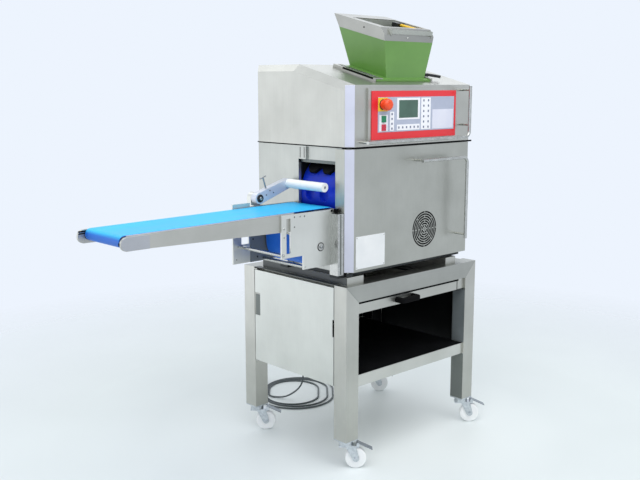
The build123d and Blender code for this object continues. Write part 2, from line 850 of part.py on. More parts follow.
# Lower shell: left, rear and right walls with folds, and the frame of the discharge opening
with BuildPart() as lower_shell:
    extrude(casing_plan(casing_bottom), amount=lower_height)
    extrude(casing_plan(casing_bottom, inset=sheet), amount=lower_height, mode=Mode.SUBTRACT)
    for level in (casing_bottom, shell_top - sheet):
        extrude(casing_plan(level, rim=fold_width), amount=sheet)
    right_front = machine_front + door_right_return + door_gap
    block(
        (wall_left, wall_right), (machine_front, right_front), (casing_bottom, shell_top), mode=Mode.SUBTRACT
    )
    block(
        (wall_left, wall_left + fold_width),
        (right_front, opening_rear),
        (casing_bottom, shell_top - sheet),
        mode=Mode.SUBTRACT,
    )
    jamb_front = opening_rear - jamb_width
    sill_top = casing_bottom + sill_height
    block((wall_left, wall_left + sheet), (opening_front, opening_rear), (casing_bottom, sill_top))
    lintel_x = wall_left + lintel_recess
    lintel_z = (shell_top - lintel_drop, shell_top - sheet)
    block((wall_left, wall_left + jamb_depth), (jamb_front, opening_rear), lintel_z)
    block((lintel_x, lintel_x + sheet), (opening_front, jamb_front), lintel_z)
    guard_x = wall_left + jamb_depth
    guard_z = (shell_top - guard_drop, shell_top - sheet)
    block((guard_x, guard_x + sheet), (opening_front, opening_rear), guard_z)
save(lower_shell, "lower_shell")

# Hood with its sloped front, bevelled along both sides and open below
throat_x = (hopper_left + throat_margin, hopper_right - throat_margin)
throat_s = (hopper_front + throat_margin, hopper_rear - throat_margin)
with BuildPart() as hood:
    with BuildSketch(Plane.YZ.offset(wall_left)):
        with BuildLine():
            Polyline(
                (machine_front, hood_bottom), (machine_front, slope_start), (slope_end, hood_top),
                (machine_rear, hood_top), (machine_rear, hood_bottom),
                close=True,
            )
        make_face()
    extrude(amount=machine_width)
    side_edges = hood.faces().filter_by(Axis.X).edges()
    chamfer(side_edges.filter_by(lambda edge: edge.center().Z > hood_bottom + sheet), bevel)
    offset(amount=-sheet, openings=hood.faces().sort_by(Axis.Z)[0])
    extrude(casing_plan(hood_bottom, rim=fold_width), amount=sheet)
    slope_block(throat_x, throat_s, (-2 * sheet, sheet), mode=Mode.SUBTRACT)
    front_sheet = (machine_front, machine_front + sheet)
    rod_y(estop_x, estop_z, estop_stem_diameter + 2 * stem_room, front_sheet, mode=Mode.SUBTRACT)
save(hood, "hood")


def handrail(corners, feet):
    """Bent tube in front of the casing on round feet that stand on the casing's face."""
    rail_y = machine_front - rail_reach
    with BuildLine() as run:
        FilletPolyline(*((x, rail_y, z) for x, z in corners), radius=rail_bend)
    with BuildSketch(Plane(origin=run.line @ 0, z_dir=run.line % 0)) as section:
        Circle(rail_diameter / 2)
    sweep(section.sketch, path=run.line)
    for x, z in feet:
        rod((x, machine_front, z), (0, -1, 0), rail_foot_diameter, rail_reach)


with BuildPart() as hood_rail:
    low_z = hood_bottom + hood_rail_bottom
    high_z = hood_bottom + hood_rail_top
    handrail(
        (
            (hood_rail_left - hood_rail_end, low_z), (hood_rail_right, low_z),
            (hood_rail_right, high_z + hood_rail_end),
        ),
        ((hood_rail_left, low_z), (hood_rail_right, high_z), (hood_rail_right, low_z + 2 * rail_bend)),
    )
save(hood_rail, "hood_rail")

# Front door, hinged on two pins inside its left bevel
gusset_cut = bevel - sheet * (2 - sqrt(2))
fan_z = casing_bottom + fan_rise
with BuildPart() as front_door:
    extrude(casing_plan(door_bottom), amount=door_top - door_bottom)
    extrude(casing_plan(door_bottom, inset=sheet), amount=door_top - door_bottom, mode=Mode.SUBTRACT)
    door_z = (door_bottom, door_top)
    left_end = machine_front + door_left_return
    right_end = machine_front + door_right_return
    block((wall_left, 0), (left_end, machine_rear), door_z, mode=Mode.SUBTRACT)
    block((0, wall_right), (right_end, machine_rear), door_z, mode=Mode.SUBTRACT)
    lip_x = (wall_left + bevel, wall_right - bevel)
    lip_y = (machine_front, machine_front + sheet + door_lip)
    for low in (door_bottom, door_top - sheet):
        block(lip_x, lip_y, (low, low + sheet))
    for low, pin_end in ((door_bottom, lug_z[0]), (door_top - hinge_plate, hood_bottom)):
        with BuildSketch(Plane.XY.offset(low)):
            with BuildLine():
                inner_left = wall_left + sheet
                inner_front = machine_front + sheet
                gusset_rear = hinge_y + 2 * hinge_lug_radius
                gusset_right = hinge_x + 3 * hinge_lug_radius
                Polyline(
                    (inner_left, gusset_rear), (inner_left, inner_front + gusset_cut),
                    (inner_left + gusset_cut, inner_front), (gusset_right, inner_front),
                    (gusset_right, gusset_rear),
                    close=True,
                )
            make_face()
        extrude(amount=hinge_plate)
        pin_start = low + hinge_plate / 2
        direction = 1 if pin_end > pin_start else -1
        rod((hinge_x, hinge_y, pin_start), (0, 0, direction), hinge_pin_diameter, abs(pin_end - pin_start))
    with BuildSketch(Plane.XZ.offset(-machine_front - sheet)):
        with Locations((fan_x, fan_z)):
            for ring in range(grille_rings):
                outer = grille_diameter / 2 - ring * grille_pitch
                Circle(outer)
                Circle(outer - grille_slot, mode=Mode.SUBTRACT)
            for turn in (45, 135):
                Rectangle(grille_diameter, grille_spoke, rotation=turn, mode=Mode.SUBTRACT)
    extrude(amount=sheet, mode=Mode.SUBTRACT)
save(front_door, "front_door")

with BuildPart() as door_handle:
    top_z = casing_bottom + door_rail_top
    foot_z_low = casing_bottom + door_rail_bottom
    handrail(
        (
            (door_rail_left - rail_overhang, top_z), (door_rail_right, top_z),
            (door_rail_right, foot_z_low - rail_overhang),
        ),
        ((door_rail_left, top_z), (door_rail_right, foot_z_low)),
    )
save(door_handle, "door_handle")

fan_y = (machine_front + sheet, machine_front + sheet + fan_depth)
fan_bore = fan_size - 2 * fan_wall
with BuildPart() as fan_frame:
    fan_span_x = (fan_x - fan_size / 2, fan_x + fan_size / 2)
    fan_span_z = (fan_z - fan_size / 2, fan_z + fan_size / 2)
    block(fan_span_x, fan_y, fan_span_z)
    fillet(fan_frame.edges().filter_by(Axis.Y), fan_wall)
    rod_y(fan_x, fan_z, fan_bore, fan_y, mode=Mode.SUBTRACT)
    strut_y = (fan_y[1] - hinge_plate, fan_y[1])
    block(fan_span_x, strut_y, (fan_z - fan_strut / 2, fan_z + fan_strut / 2))
    block((fan_x - fan_strut / 2, fan_x + fan_strut / 2), strut_y, fan_span_z)
    rod_y(fan_x, fan_z, fan_hub_diameter, strut_y)
    rod_y(fan_x, fan_z, fan_pin_diameter, (fan_y[0] + fan_depth / 2, strut_y[0]))
save(fan_frame, "fan_frame")

with BuildPart() as fan_rotor:
    rotor_y = (fan_y[0] + fan_tip_gap, strut_y[0] - sheet)
    rod_y(fan_x, fan_z, fan_hub_diameter, rotor_y)
    rotor_middle = Plane(
        origin=(fan_x, (rotor_y[0] + rotor_y[1]) / 2, fan_z), x_dir=(1, 0, 0), z_dir=(0, -1, 0)
    )
    with Locations(rotor_middle):
        with PolarLocations(fan_bore / 2 - fan_tip_gap - fan_blade_length / 2, fan_blades):
            Box(fan_blade_length, fan_blade_chord, sheet, rotation=(fan_blade_pitch, 0, 0))
    pin_bore = fan_pin_diameter + 2 * running_clearance
    rod_y(fan_x, fan_z, pin_bore, (fan_y[0] + fan_depth / 2 - sheet, rotor_y[1]), mode=Mode.SUBTRACT)
save(fan_rotor, "fan_rotor")

# Control panel: a shallow box on the hood's front, a coloured fascia and three push buttons
panel_z = (hood_bottom + panel_rise, hood_bottom + panel_rise + panel_height)
panel_y = (machine_front - panel_proud, machine_front)
fascia_y = (panel_y[0] - fascia_thickness, panel_y[0])
key_levels = {"start_button": hood_bottom + start_rise, "stop_button": hood_bottom + stop_rise}
stem_end = panel_y[0] + stem_depth
with BuildPart() as control_box:
    block((panel_left, panel_right), panel_y, panel_z)
    rod_y(estop_x, estop_z, estop_stem_diameter + 2 * stem_room, panel_y, mode=Mode.SUBTRACT)
    for level in key_levels.values():
        block(
            (key_x - key_width / 2 - stem_room, key_x + key_width / 2 + stem_room),
            panel_y,
            (level - key_height / 2 - stem_room, level + key_height / 2 + stem_room),
            mode=Mode.SUBTRACT,
        )
save(control_box, "control_box")

with BuildPart() as control_fascia:
    fascia_x = (panel_left + fascia_side_margin, panel_right - fascia_side_margin)
    block(fascia_x, fascia_y, (panel_z[0] + fascia_margin, panel_z[1] - fascia_margin))
    rod_y(estop_x, estop_z, estop_stem_diameter + 2 * running_clearance, fascia_y, mode=Mode.SUBTRACT)
    for level in key_levels.values():
        block(
            (key_x - key_width / 2 - key_gap, key_x + key_width / 2 + key_gap),
            fascia_y,
            (level - key_height / 2 - key_gap, level + key_height / 2 + key_gap),
            mode=Mode.SUBTRACT,
        )
save(control_fascia, "control_fascia")

with BuildPart() as estop_button:
    head_rear = fascia_y[0] - estop_stem
    rod_y(estop_x, estop_z, estop_stem_diameter, (head_rear, stem_end))
    rod_y(estop_x, estop_z, estop_head_diameter, (head_rear - estop_head, head_rear))
    crown = estop_button.faces().sort_by(Axis.Y)[0]
    fillet(crown.edges(), estop_head / 2)
save(estop_button, "estop_button")

for name, level in key_levels.items():
    with BuildPart() as key:
        block(
            (key_x - key_width / 2, key_x + key_width / 2),
            (fascia_y[0] - key_proud, stem_end),
            (level - key_height / 2, level + key_height / 2),
        )
        fillet(key.faces().sort_by(Axis.Y)[0].edges(), sheet / 2)
    save(key, name)

# Hopper: a tapered box on a flange that slides in guides on the slope
flange_low = slide_clearance
hopper_low = flange_low + flange_thickness
hopper_high = hopper_low + hopper_height
top_x = (hopper_left - hopper_flare_left, hopper_right + hopper_flare_right)
top_s = (hopper_front + hopper_flare_front, hopper_rear + hopper_flare_rear)
flange_x = (hopper_left - flange_left, hopper_right + flange_right)
flange_s = (hopper_front - flange_front, hopper_rear + flange_rear)


def hopper_sections(inset):
    """Foot and top outline of the hopper's taper, moved in by an inset."""
    sections = []
    ends = (
        (hopper_low, (hopper_left, hopper_right), (hopper_front, hopper_rear)),
        (hopper_high, top_x, top_s),
    )
    for height, x_span, s_span in ends:
        with BuildSketch(on_slope(height)) as section:
            with Locations(((x_span[0] + x_span[1]) / 2, (s_span[0] + s_span[1]) / 2)):
                Rectangle(x_span[1] - x_span[0] - 2 * inset, s_span[1] - s_span[0] - 2 * inset)
        sections.append(section.sketch)
    return sections


with BuildPart() as hopper:
    loft(hopper_sections(0.0), ruled=True)
    slope_block(flange_x, flange_s, (flange_low, hopper_low))
    loft(hopper_sections(hopper_wall), ruled=True, mode=Mode.SUBTRACT)
    slope_block(
        (hopper_left + hopper_wall, hopper_right - hopper_wall),
        (hopper_front + hopper_wall, hopper_rear - hopper_wall),
        (flange_low, hopper_low),
        mode=Mode.SUBTRACT,
    )
save(hopper, "hopper")

rim_top = hopper_high + rim_height
rim_x = (top_x[0] - rim_flare_side, top_x[1] + rim_flare_side)
rim_s = (top_s[0] + rim_lean + rim_slant, top_s[1] + rim_flare_rear)
mouth_x = (rim_x[0] + mouth_left, rim_x[1] - mouth_right)
mouth_s = (rim_s[0] + mouth_front, rim_s[1] - mouth_rear)
face_share = rim_face / rim_height


def rim_sections(inset):
    """Outlines of the rim at its foot, at its front fold and at its top, moved in by an inset."""
    levels = ((hopper_high, 0.0, 0.0), (hopper_high + rim_face, face_share, rim_lean),
              (rim_top - inset, 1.0, rim_lean + rim_slant))
    sections = []
    for height, share, lean in levels:
        x_span = (top_x[0] - share * rim_flare_side + inset, top_x[1] + share * rim_flare_side - inset)
        s_span = (top_s[0] + lean + inset, top_s[1] + share * rim_flare_rear - inset)
        with BuildSketch(on_slope(height), mode=Mode.PRIVATE) as section:
            with Locations(((x_span[0] + x_span[1]) / 2, (s_span[0] + s_span[1]) / 2)):
                Rectangle(x_span[1] - x_span[0], s_span[1] - s_span[0])
        sections.append(section.sketch)
    return sections


with BuildPart() as hopper_rim:
    loft(rim_sections(0.0), ruled=True)
    loft(rim_sections(hopper_wall), ruled=True, mode=Mode.SUBTRACT)
    slope_block(mouth_x, mouth_s, (rim_top - hopper_wall, rim_top), mode=Mode.SUBTRACT)
save(hopper_rim, "hopper_rim")

with BuildPart() as level_probe:
    probe_x = (top_x[1] - slide_clearance - probe_width, top_x[1] - slide_clearance)
    probe_s = (top_s[1] - probe_setback - probe_length, top_s[1] - probe_setback)
    probe_h = (rim_top - hopper_wall - probe_height, rim_top - hopper_wall)
    slope_block(probe_x, probe_s, probe_h)
    bar_start = on_slope(0).from_local_coords(
        (probe_x[1] - probe_bar_inset, probe_s[0], probe_h[1] - probe_bar_drop)
    )
    rod(bar_start, -on_slope(0).y_dir, probe_bar_diameter, probe_bar_length)
save(level_probe, "level_probe")

# Guides on the slope hold the flange down; a lever clamps it on the right
guide_top = hopper_low + slide_clearance + guide_lip
left_web = (flange_x[0] - guide_side_gap - guide_thickness, flange_x[0] - guide_side_gap)
right_web = (flange_x[1] + guide_side_gap, flange_x[1] + guide_side_gap + guide_thickness)
latch_x = right_web[1] + latch_post_diameter / 2
latch_frame = on_slope(guide_top)
with BuildPart() as hopper_guides:
    lip_h = (guide_top - guide_lip, guide_top)
    slope_block(left_web, flange_s, (0, guide_top))
    slope_block((left_web[0], left_web[1] + guide_left_reach), flange_s, lip_h)
    slope_block(right_web, flange_s, (0, guide_top))
    slope_block((right_web[0] - guide_right_reach, right_web[1]), flange_s, lip_h)
    post_s = (latch_along - latch_post_diameter / 2, latch_along + latch_post_diameter / 2)
    slope_block((right_web[1], latch_x + latch_post_diameter / 2), post_s, (0, guide_top))
    latch_pin = latch_frame.from_local_coords((latch_x, latch_along, 0))
    rod(latch_pin, slope_up, latch_pin_diameter, slide_clearance + latch_thickness)
save(hopper_guides, "hopper_guides")

with BuildPart() as hopper_latch:
    with BuildSketch(latch_frame.offset(slide_clearance)):
        with Locations((latch_x, latch_along)):
            Circle(latch_post_diameter / 2)
            with Locations(Location((0, 0), latch_turn)):
                with Locations((latch_length / 2, 0)):
                    Rectangle(latch_length, latch_width)
            Circle(latch_pin_diameter / 2 + running_clearance, mode=Mode.SUBTRACT)
    extrude(amount=latch_thickness)
save(hopper_latch, "hopper_latch")

# Moulding drum with rows of cups, and the shoe that slides along it on a rod
drum_y = (chamber_front + drum_end_gap, chamber_rear - drum_end_gap)
motor_y = (rear_bearing[1], rear_bearing[1] + gearbox_depth)
with BuildPart() as moulding_drum:
    rod_y(drum_x, drum_z, drum_diameter, drum_y)
    rod_y(drum_x, drum_z, drum_journal_diameter, (front_bearing[0], motor_y[1]))
    drum_middle = (drum_y[0] + drum_y[1]) / 2
    for row in range(cup_rows):
        cup_y = drum_middle + cup_offset + (row - (cup_rows - 1) / 2) * cup_pitch
        for place in range(cups_around):
            angle = radians(cup_angle) + 2 * pi * place / cups_around
            outward = (cos(angle), 0, sin(angle))
            floor = drum_radius - cup_depth
            foot = (drum_x + floor * outward[0], cup_y, drum_z + floor * outward[2])
            rod(foot, outward, cup_diameter, 2 * cup_depth, mode=Mode.SUBTRACT)
save(moulding_drum, "moulding_drum")

shoe_inner = drum_radius + shoe_gap
shoe_outer = shoe_inner + shoe_thickness


def shoe_sector(start, end, y_span):
    """Piece of the shoe's curved wall between two angles round the drum."""
    with BuildSketch(Plane.XZ.offset(-y_span[1])) as sector:
        with BuildLine():
            for radius in (shoe_inner, shoe_outer):
                CenterArc((drum_x, drum_z), radius, start, end - start)
            for angle in (radians(start), radians(end)):
                Line(
                    (drum_x + shoe_inner * cos(angle), drum_z + shoe_inner * sin(angle)),
                    (drum_x + shoe_outer * cos(angle), drum_z + shoe_outer * sin(angle)),
                )
        make_face()
    extrude(sector.sketch, amount=y_span[1] - y_span[0])


shoe_y = (chamber_front + shoe_end_gap, chamber_rear - shoe_rear_gap)
lobe_turn = radians((shoe_end + lobe_end) / 2)
lobe_out = (cos(lobe_turn), 0, sin(lobe_turn))
lobe_half = shoe_outer * radians(lobe_end - shoe_end) / 2
lobe_plane = Plane(
    origin=(drum_x + drum_radius * lobe_out[0], 0, drum_z + drum_radius * lobe_out[2]),
    x_dir=(0, 1, 0),
    z_dir=lobe_out,
)
with BuildPart() as shoe_lobes:
    shoe_sector(shoe_end, lobe_end, shoe_y)
    with BuildSketch(lobe_plane):
        for row in range(cup_rows):
            lobe_y = drum_middle + cup_offset + (row - (cup_rows - 1) / 2) * cup_pitch
            with BuildLine():
                Polyline(
                    (lobe_y - lobe_width / 2, -lobe_half), (lobe_y + lobe_width / 2, -lobe_half),
                    (lobe_y + lobe_tip_width / 2, lobe_half), (lobe_y - lobe_tip_width / 2, lobe_half),
                    close=True,
                )
            make_face()
    extrude(amount=2 * shoe_thickness, mode=Mode.INTERSECT)

with BuildPart() as moulding_shoe:
    shoe_sector(shoe_start, shoe_end, shoe_y)
    add(shoe_lobes.part)
    web_half = shoe_hub_diameter / 2
    block(
        (shoe_rod_x - web_half, shoe_rod_x + web_half),
        shoe_y,
        (drum_z + (shoe_inner + shoe_outer) / 2, shoe_rod_z),
    )
    rod_y(shoe_rod_x, shoe_rod_z, shoe_hub_diameter, shoe_y)
    rod_y(shoe_rod_x, shoe_rod_z, shoe_rod_diameter + 2 * running_clearance, shoe_y, mode=Mode.SUBTRACT)
save(moulding_shoe, "moulding_shoe")

with BuildPart() as gear_motor:
    gear_x = (drum_x - gearbox_width / 2, drum_x + gearbox_width / 2)
    block(gear_x, motor_y, (drum_z - gearbox_height / 2, drum_z + gearbox_height / 2))
    fillet(gear_motor.edges().filter_by(Axis.Y), bevel / 2)
    motor_axis = (gear_x[1], (motor_y[0] + motor_y[1]) / 2 + sheet, drum_z)
    rod(motor_axis, (1, 0, 0), motor_diameter - bevel, motor_length)
    bore = drum_journal_diameter + 2 * running_clearance
    rod_y(drum_x, drum_z, bore, motor_y, mode=Mode.SUBTRACT)
save(gear_motor, "gear_motor")

# Fluted feed rollers, geared together behind the rear cheek
gear_module = feed_spacing / gear_teeth
gear_y = (rear_bearing[1] + gear_gap, rear_bearing[1] + gear_gap + gear_width)
feed_y = (chamber_front + feed_end_gap, chamber_rear - feed_end_gap)
tooth_root = feed_spacing / 2 - 1.2 * gear_module
tooth_tip = feed_spacing / 2 + 0.75 * gear_module
feed_phases = {"feed_roller_left": (feed_axes[0], 0.0), "feed_roller_right": (feed_axes[1], 0.5)}
for name, (axis_x, phase) in feed_phases.items():
    with BuildPart() as feed_roller:
        rod_y(axis_x, feed_z, feed_diameter, feed_y)
        with BuildSketch(Plane.XZ.offset(-feed_y[1])):
            with Locations((axis_x, feed_z)):
                with PolarLocations(feed_diameter / 2, feed_flutes):
                    Circle(feed_flute_diameter / 2)
        extrude(amount=feed_y[1] - feed_y[0], mode=Mode.SUBTRACT)
        rod_y(axis_x, feed_z, feed_journal_diameter, (front_bearing[0], gear_y[1]))
        with BuildSketch(Plane.XZ.offset(-gear_y[1])):
            with Locations((axis_x, feed_z)):
                Circle(tooth_root)
                with PolarLocations(0, gear_teeth, start_angle=phase * 360 / gear_teeth):
                    Polygon(
                        (tooth_root - gear_module, -0.75 * gear_module), (tooth_tip, -0.3 * gear_module),
                        (tooth_tip, 0.3 * gear_module), (tooth_root - gear_module, 0.75 * gear_module),
                        align=None,
                    )
        extrude(amount=gear_width)
    save(feed_roller, name)

# Discharge belt: side plates, rails with rounded nose blocks and slider bed, bars, posts and rollers
head = beside(head_out, head_rise)
nose = beside(nose_out, nose_rise)
snub = beside(snub_out, snub_rise)
drive = beside(drive_out, drive_rise)
plates_y = (rail_front_out, rail_rear_out)


def tangent_points(first, second):
    """Ends of the line that leaves one signed circle and meets the next, with its heading."""
    (x1, z1), r1 = first
    (x2, z2), r2 = second
    heading = atan2(z2 - z1, x2 - x1) - asin((r2 - r1) / hypot(x2 - x1, z2 - z1))
    left = (-sin(heading), cos(heading))
    return (x1 - left[0] * r1, z1 - left[1] * r1), (x2 - left[0] * r2, z2 - left[1] * r2), heading


def belt_face(skin, mode):
    """Closed belt line at a distance from the inner face, round the rollers and over the snub bar."""
    inside = belt_clearance + skin
    outside = belt_clearance + belt_thickness - skin
    wraps = (
        (head, head_diameter / 2 + inside), (nose, nose_diameter / 2 + inside),
        (snub, -snub_diameter / 2 - outside), (drive, drive_diameter / 2 + inside),
    )
    runs = [tangent_points(wraps[index], wraps[(index + 1) % len(wraps)]) for index in range(len(wraps))]
    with BuildLine() as loop:
        for index, ((centre_x, centre_z), radius) in enumerate(wraps):
            arrive, arrive_heading = runs[index - 1][1], runs[index - 1][2]
            leave, end, leave_heading = runs[index]
            turn = (leave_heading - arrive_heading) % (2 * pi)
            if radius < 0:
                turn -= 2 * pi
            middle = arrive_heading + turn / 2
            crest = (centre_x + sin(middle) * radius, centre_z - cos(middle) * radius)
            ThreePointArc(arrive, crest, leave)
            Line(leave, end)
    make_face(loop.line.edges(), mode=mode)


with BuildPart() as conveyor_belt:
    with BuildSketch(Plane.XZ.offset(-belt_rear)):
        belt_face(belt_thickness, Mode.ADD)
        belt_face(0.0, Mode.SUBTRACT)
    extrude(amount=belt_width)
save(conveyor_belt, "conveyor_belt")

with BuildPart() as nose_roller:
    rod_y(nose[0], nose[1], nose_diameter, (belt_front, belt_rear))
    rod_y(nose[0], nose[1], roller_shaft_diameter, plates_y)
save(nose_roller, "nose_roller")

with BuildPart() as drive_roller:
    rod_y(drive[0], drive[1], drive_diameter, (belt_front, belt_rear))
    rod_y(drive[0], drive[1], drive_shaft_diameter, (plates_front, plates_rear))
save(drive_roller, "drive_roller")

belt_lift = belt_clearance + belt_thickness
head_top = head[1] + head_diameter / 2 + belt_lift
nose_top = nose[1] + nose_diameter / 2 + belt_lift
belt_slope = (nose_top - head_top) / (nose[0] - head[0])


def belt_top(x):
    """Height of the belt's upper face on its way to the nose."""
    return head_top + belt_slope * (x - head[0])


block_end = nose[0] - nose_diameter / 2 - belt_lift
block_start = block_end + nose_block_length
rail_right = wall_left - rail_inner_out
with BuildPart() as conveyor_rails:
    inner_rails = (belt_front - rail_gap, belt_rear + rail_gap)
    for inner, outward, extra in zip(inner_rails, (-1, 1), (0, rear_block_extra)):
        rail_y = tuple(sorted((inner, inner + outward * rail_plate)))
        block_y = tuple(sorted((inner, inner + outward * (rail_plate + nose_block_proud))))
        rail_top = belt_top(rail_right) - rail_drop
        block_top = belt_top(block_start) - rail_drop
        plate_y(
            (
                (rail_right, rail_top), (block_start, block_top),
                (block_start, block_top - rail_shallow), (rail_right, rail_top - rail_deep),
            ),
            rail_y,
        )
        block_round = rail_shallow / 2
        block_length = nose_block_length + extra
        with BuildSketch(Plane.XZ.offset(-block_y[1])):
            with Locations((block_start - block_length / 2, block_top - block_round)):
                SlotOverall(block_length, rail_shallow)
            with Locations((block_start - block_round, block_top - block_round)):
                Rectangle(rail_shallow, rail_shallow)
        extrude(amount=block_y[1] - block_y[0])
        bore = roller_shaft_diameter + 2 * running_clearance
        rod_y(nose[0], nose[1], bore, block_y, mode=Mode.SUBTRACT)
    bed_x = (nose[0] + nose_diameter / 2 + bed_end_gap, rail_right - bed_start)
    bed_lift = belt_thickness + bed_gap
    plate_y(
        (
            (bed_x[0], belt_top(bed_x[0]) - bed_lift), (bed_x[1], belt_top(bed_x[1]) - bed_lift),
            (bed_x[1], belt_top(bed_x[1]) - bed_lift - bed_thickness),
            (bed_x[0], belt_top(bed_x[0]) - bed_lift - bed_thickness),
        ),
        inner_rails,
    )
save(conveyor_rails, "conveyor_rails")

with BuildPart() as front_side_plate:
    plate_span = (plates_front, rail_front_out)
    corners = (
        (front_plate_out, plate_top), (plate_inner_out, plate_top), (plate_inner_out, plate_bottom),
        (front_plate_knee, plate_bottom), (front_plate_knee, front_plate_strip),
        (front_plate_out, front_plate_strip),
    )
    plate_y([beside(*corner) for corner in corners], plate_span)
    window_out = front_plate_out - front_leg_width
    window_low = beside(window_out, front_window_bottom)
    window_high = beside(window_out - front_window_width, front_window_top)
    window_x, window_z = zip(window_low, window_high)
    block(window_x, plate_span, window_z, mode=Mode.SUBTRACT)
    bore = drive_shaft_diameter + 2 * running_clearance
    rod_y(drive[0], drive[1], bore, plate_span, mode=Mode.SUBTRACT)
save(front_side_plate, "front_side_plate")

arm_hub = beside(arm_out, arm_rise)
arm_rear = arm_front + arm_thickness
with BuildPart() as rear_side_plate:
    plate_span = (rail_rear_out, plates_rear)
    corners = (
        (rear_plate_out, rear_plate_top), (rear_plate_step_out, rear_plate_top),
        (rear_plate_step_out, rear_plate_low_top), (plate_inner_out, rear_plate_low_top),
        (plate_inner_out, rear_plate_bottom), (rear_plate_out, rear_plate_bottom),
    )
    plate_y([beside(*corner) for corner in corners], plate_span)
    window_low = beside(rear_window_out, rear_window_bottom)
    window_high = beside(rear_window_out - rear_window_width, rear_window_top)
    window_x, window_z = zip(window_low, window_high)
    block(window_x, plate_span, window_z, mode=Mode.SUBTRACT)
    bore = drive_shaft_diameter + 2 * running_clearance
    rod_y(drive[0], drive[1], bore, plate_span, mode=Mode.SUBTRACT)
    ear_x = (arm_hub[0] - arm_bracket_width / 2, arm_hub[0] + arm_bracket_width / 2)
    ear_top = casing_bottom + rear_plate_low_top
    ear_y = (arm_rear + arm_gap, arm_rear + arm_gap + arm_bracket_depth)
    block(ear_x, (plates_rear, ear_y[1]), (ear_top - arm_bracket_height, ear_top))
    block(ear_x, ear_y, (ear_top, arm_hub[1]))
    rod_y(arm_hub[0], arm_hub[1], arm_bracket_width, ear_y)
    rod_y(arm_hub[0], arm_hub[1], arm_pin_diameter + 2 * running_clearance, ear_y, mode=Mode.SUBTRACT)
save(rear_side_plate, "rear_side_plate")

with BuildPart() as conveyor_supports:
    for place in tie_places:
        rod_y(*beside(*place), tie_diameter, plates_y)
    rod_y(head[0], head[1], head_diameter, plates_y)
    rod_y(snub[0], snub[1], snub_diameter, plates_y)
    post_x = (wall_left - post_out - post_width, wall_left - post_out)
    for post_y in (front_post_y, rear_post_y):
        block(post_x, post_y, (foot_z[1], casing_bottom + post_top))
save(conveyor_supports, "conveyor_supports")

# Press roller on a swinging arm, with a clamp screw through the arm
arm_turn = radians(arm_angle)
arm_dir = (cos(arm_turn), sin(arm_turn))
arm_tip = (arm_hub[0] + arm_length * arm_dir[0], arm_hub[1] + arm_length * arm_dir[1])
press_y = (arm_front - press_gap - press_length, arm_front - press_gap)
clamp_foot = (arm_hub[0] + clamp_along * arm_dir[0], arm_hub[1] + clamp_along * arm_dir[1])
arm_middle = arm_front + arm_thickness / 2
clamp_axis = (-arm_dir[1], 0, arm_dir[0])
with BuildPart() as press_arm:
    with BuildSketch(Plane.XZ.offset(-arm_rear)):
        with Locations(arm_hub):
            Circle(arm_hub_radius)
        with Locations(arm_tip):
            Circle(arm_tip_radius)
        make_hull()
    extrude(amount=arm_thickness)
    clamp_bore = clamp_diameter + 2 * running_clearance
    clamp_start = (clamp_foot[0], arm_middle, clamp_foot[1])
    rod(clamp_start, clamp_axis, clamp_bore, arm_hub_radius, mode=Mode.SUBTRACT)
    rod_y(arm_hub[0], arm_hub[1], arm_pin_diameter, (arm_rear, ear_y[1]))
    rod_y(arm_tip[0], arm_tip[1], press_shaft_diameter, (press_y[0], arm_front))
save(press_arm, "press_arm")

with BuildPart() as press_roller:
    rod_y(arm_tip[0], arm_tip[1], press_diameter, press_y)
    rod_y(arm_tip[0], arm_tip[1], press_shaft_diameter + 2 * running_clearance, press_y, mode=Mode.SUBTRACT)
save(press_roller, "press_roller")

with BuildPart() as clamp_screw:
    rod(clamp_start, clamp_axis, clamp_diameter, clamp_reach)
    bar_middle = Vector(*clamp_start) + Vector(*clamp_axis) * clamp_reach
    bar_axis = Vector(arm_dir[0], 0, arm_dir[1])
    rod(bar_middle - bar_axis * (clamp_bar_length / 2), bar_axis, clamp_bar_diameter, clamp_bar_length)
save(clamp_screw, "clamp_screw")

# Mains lead: gland on the rear wall, hanging drop, loose coil on the floor and plug
gland_z = casing_bottom + gland_rise
boot_end = machine_rear + gland_nut + boot_length
with BuildPart() as cable_gland:
    with BuildSketch(Plane(origin=(gland_x, machine_rear, gland_z), x_dir=(1, 0, 0), z_dir=(0, 1, 0))):
        RegularPolygon(gland_diameter / 2, 6)
    extrude(amount=gland_nut)
    boot_sections = []
    for boot_y, diameter in ((machine_rear + gland_nut, boot_diameter), (boot_end, boot_tip_diameter)):
        with BuildSketch(Plane(origin=(gland_x, boot_y, gland_z), x_dir=(1, 0, 0), z_dir=(0, 1, 0)),
                         mode=Mode.PRIVATE) as ring_section:
            Circle(diameter / 2)
        boot_sections.append(ring_section.sketch)
    loft(boot_sections, ruled=True)
save(cable_gland, "cable_gland")

coil_z = cable_radius + floor_gap
coil_across = Vector(cos(radians(coil_angle)), sin(radians(coil_angle)), 0)
coil_away = Vector(-coil_across.Y, coil_across.X, 0)


def coil_point(across, away, height=coil_z):
    """Place on the floor by the coil's own axes: across its width and away from the stand."""
    return Vector(*coil_middle, height) + coil_across * across + coil_away * away


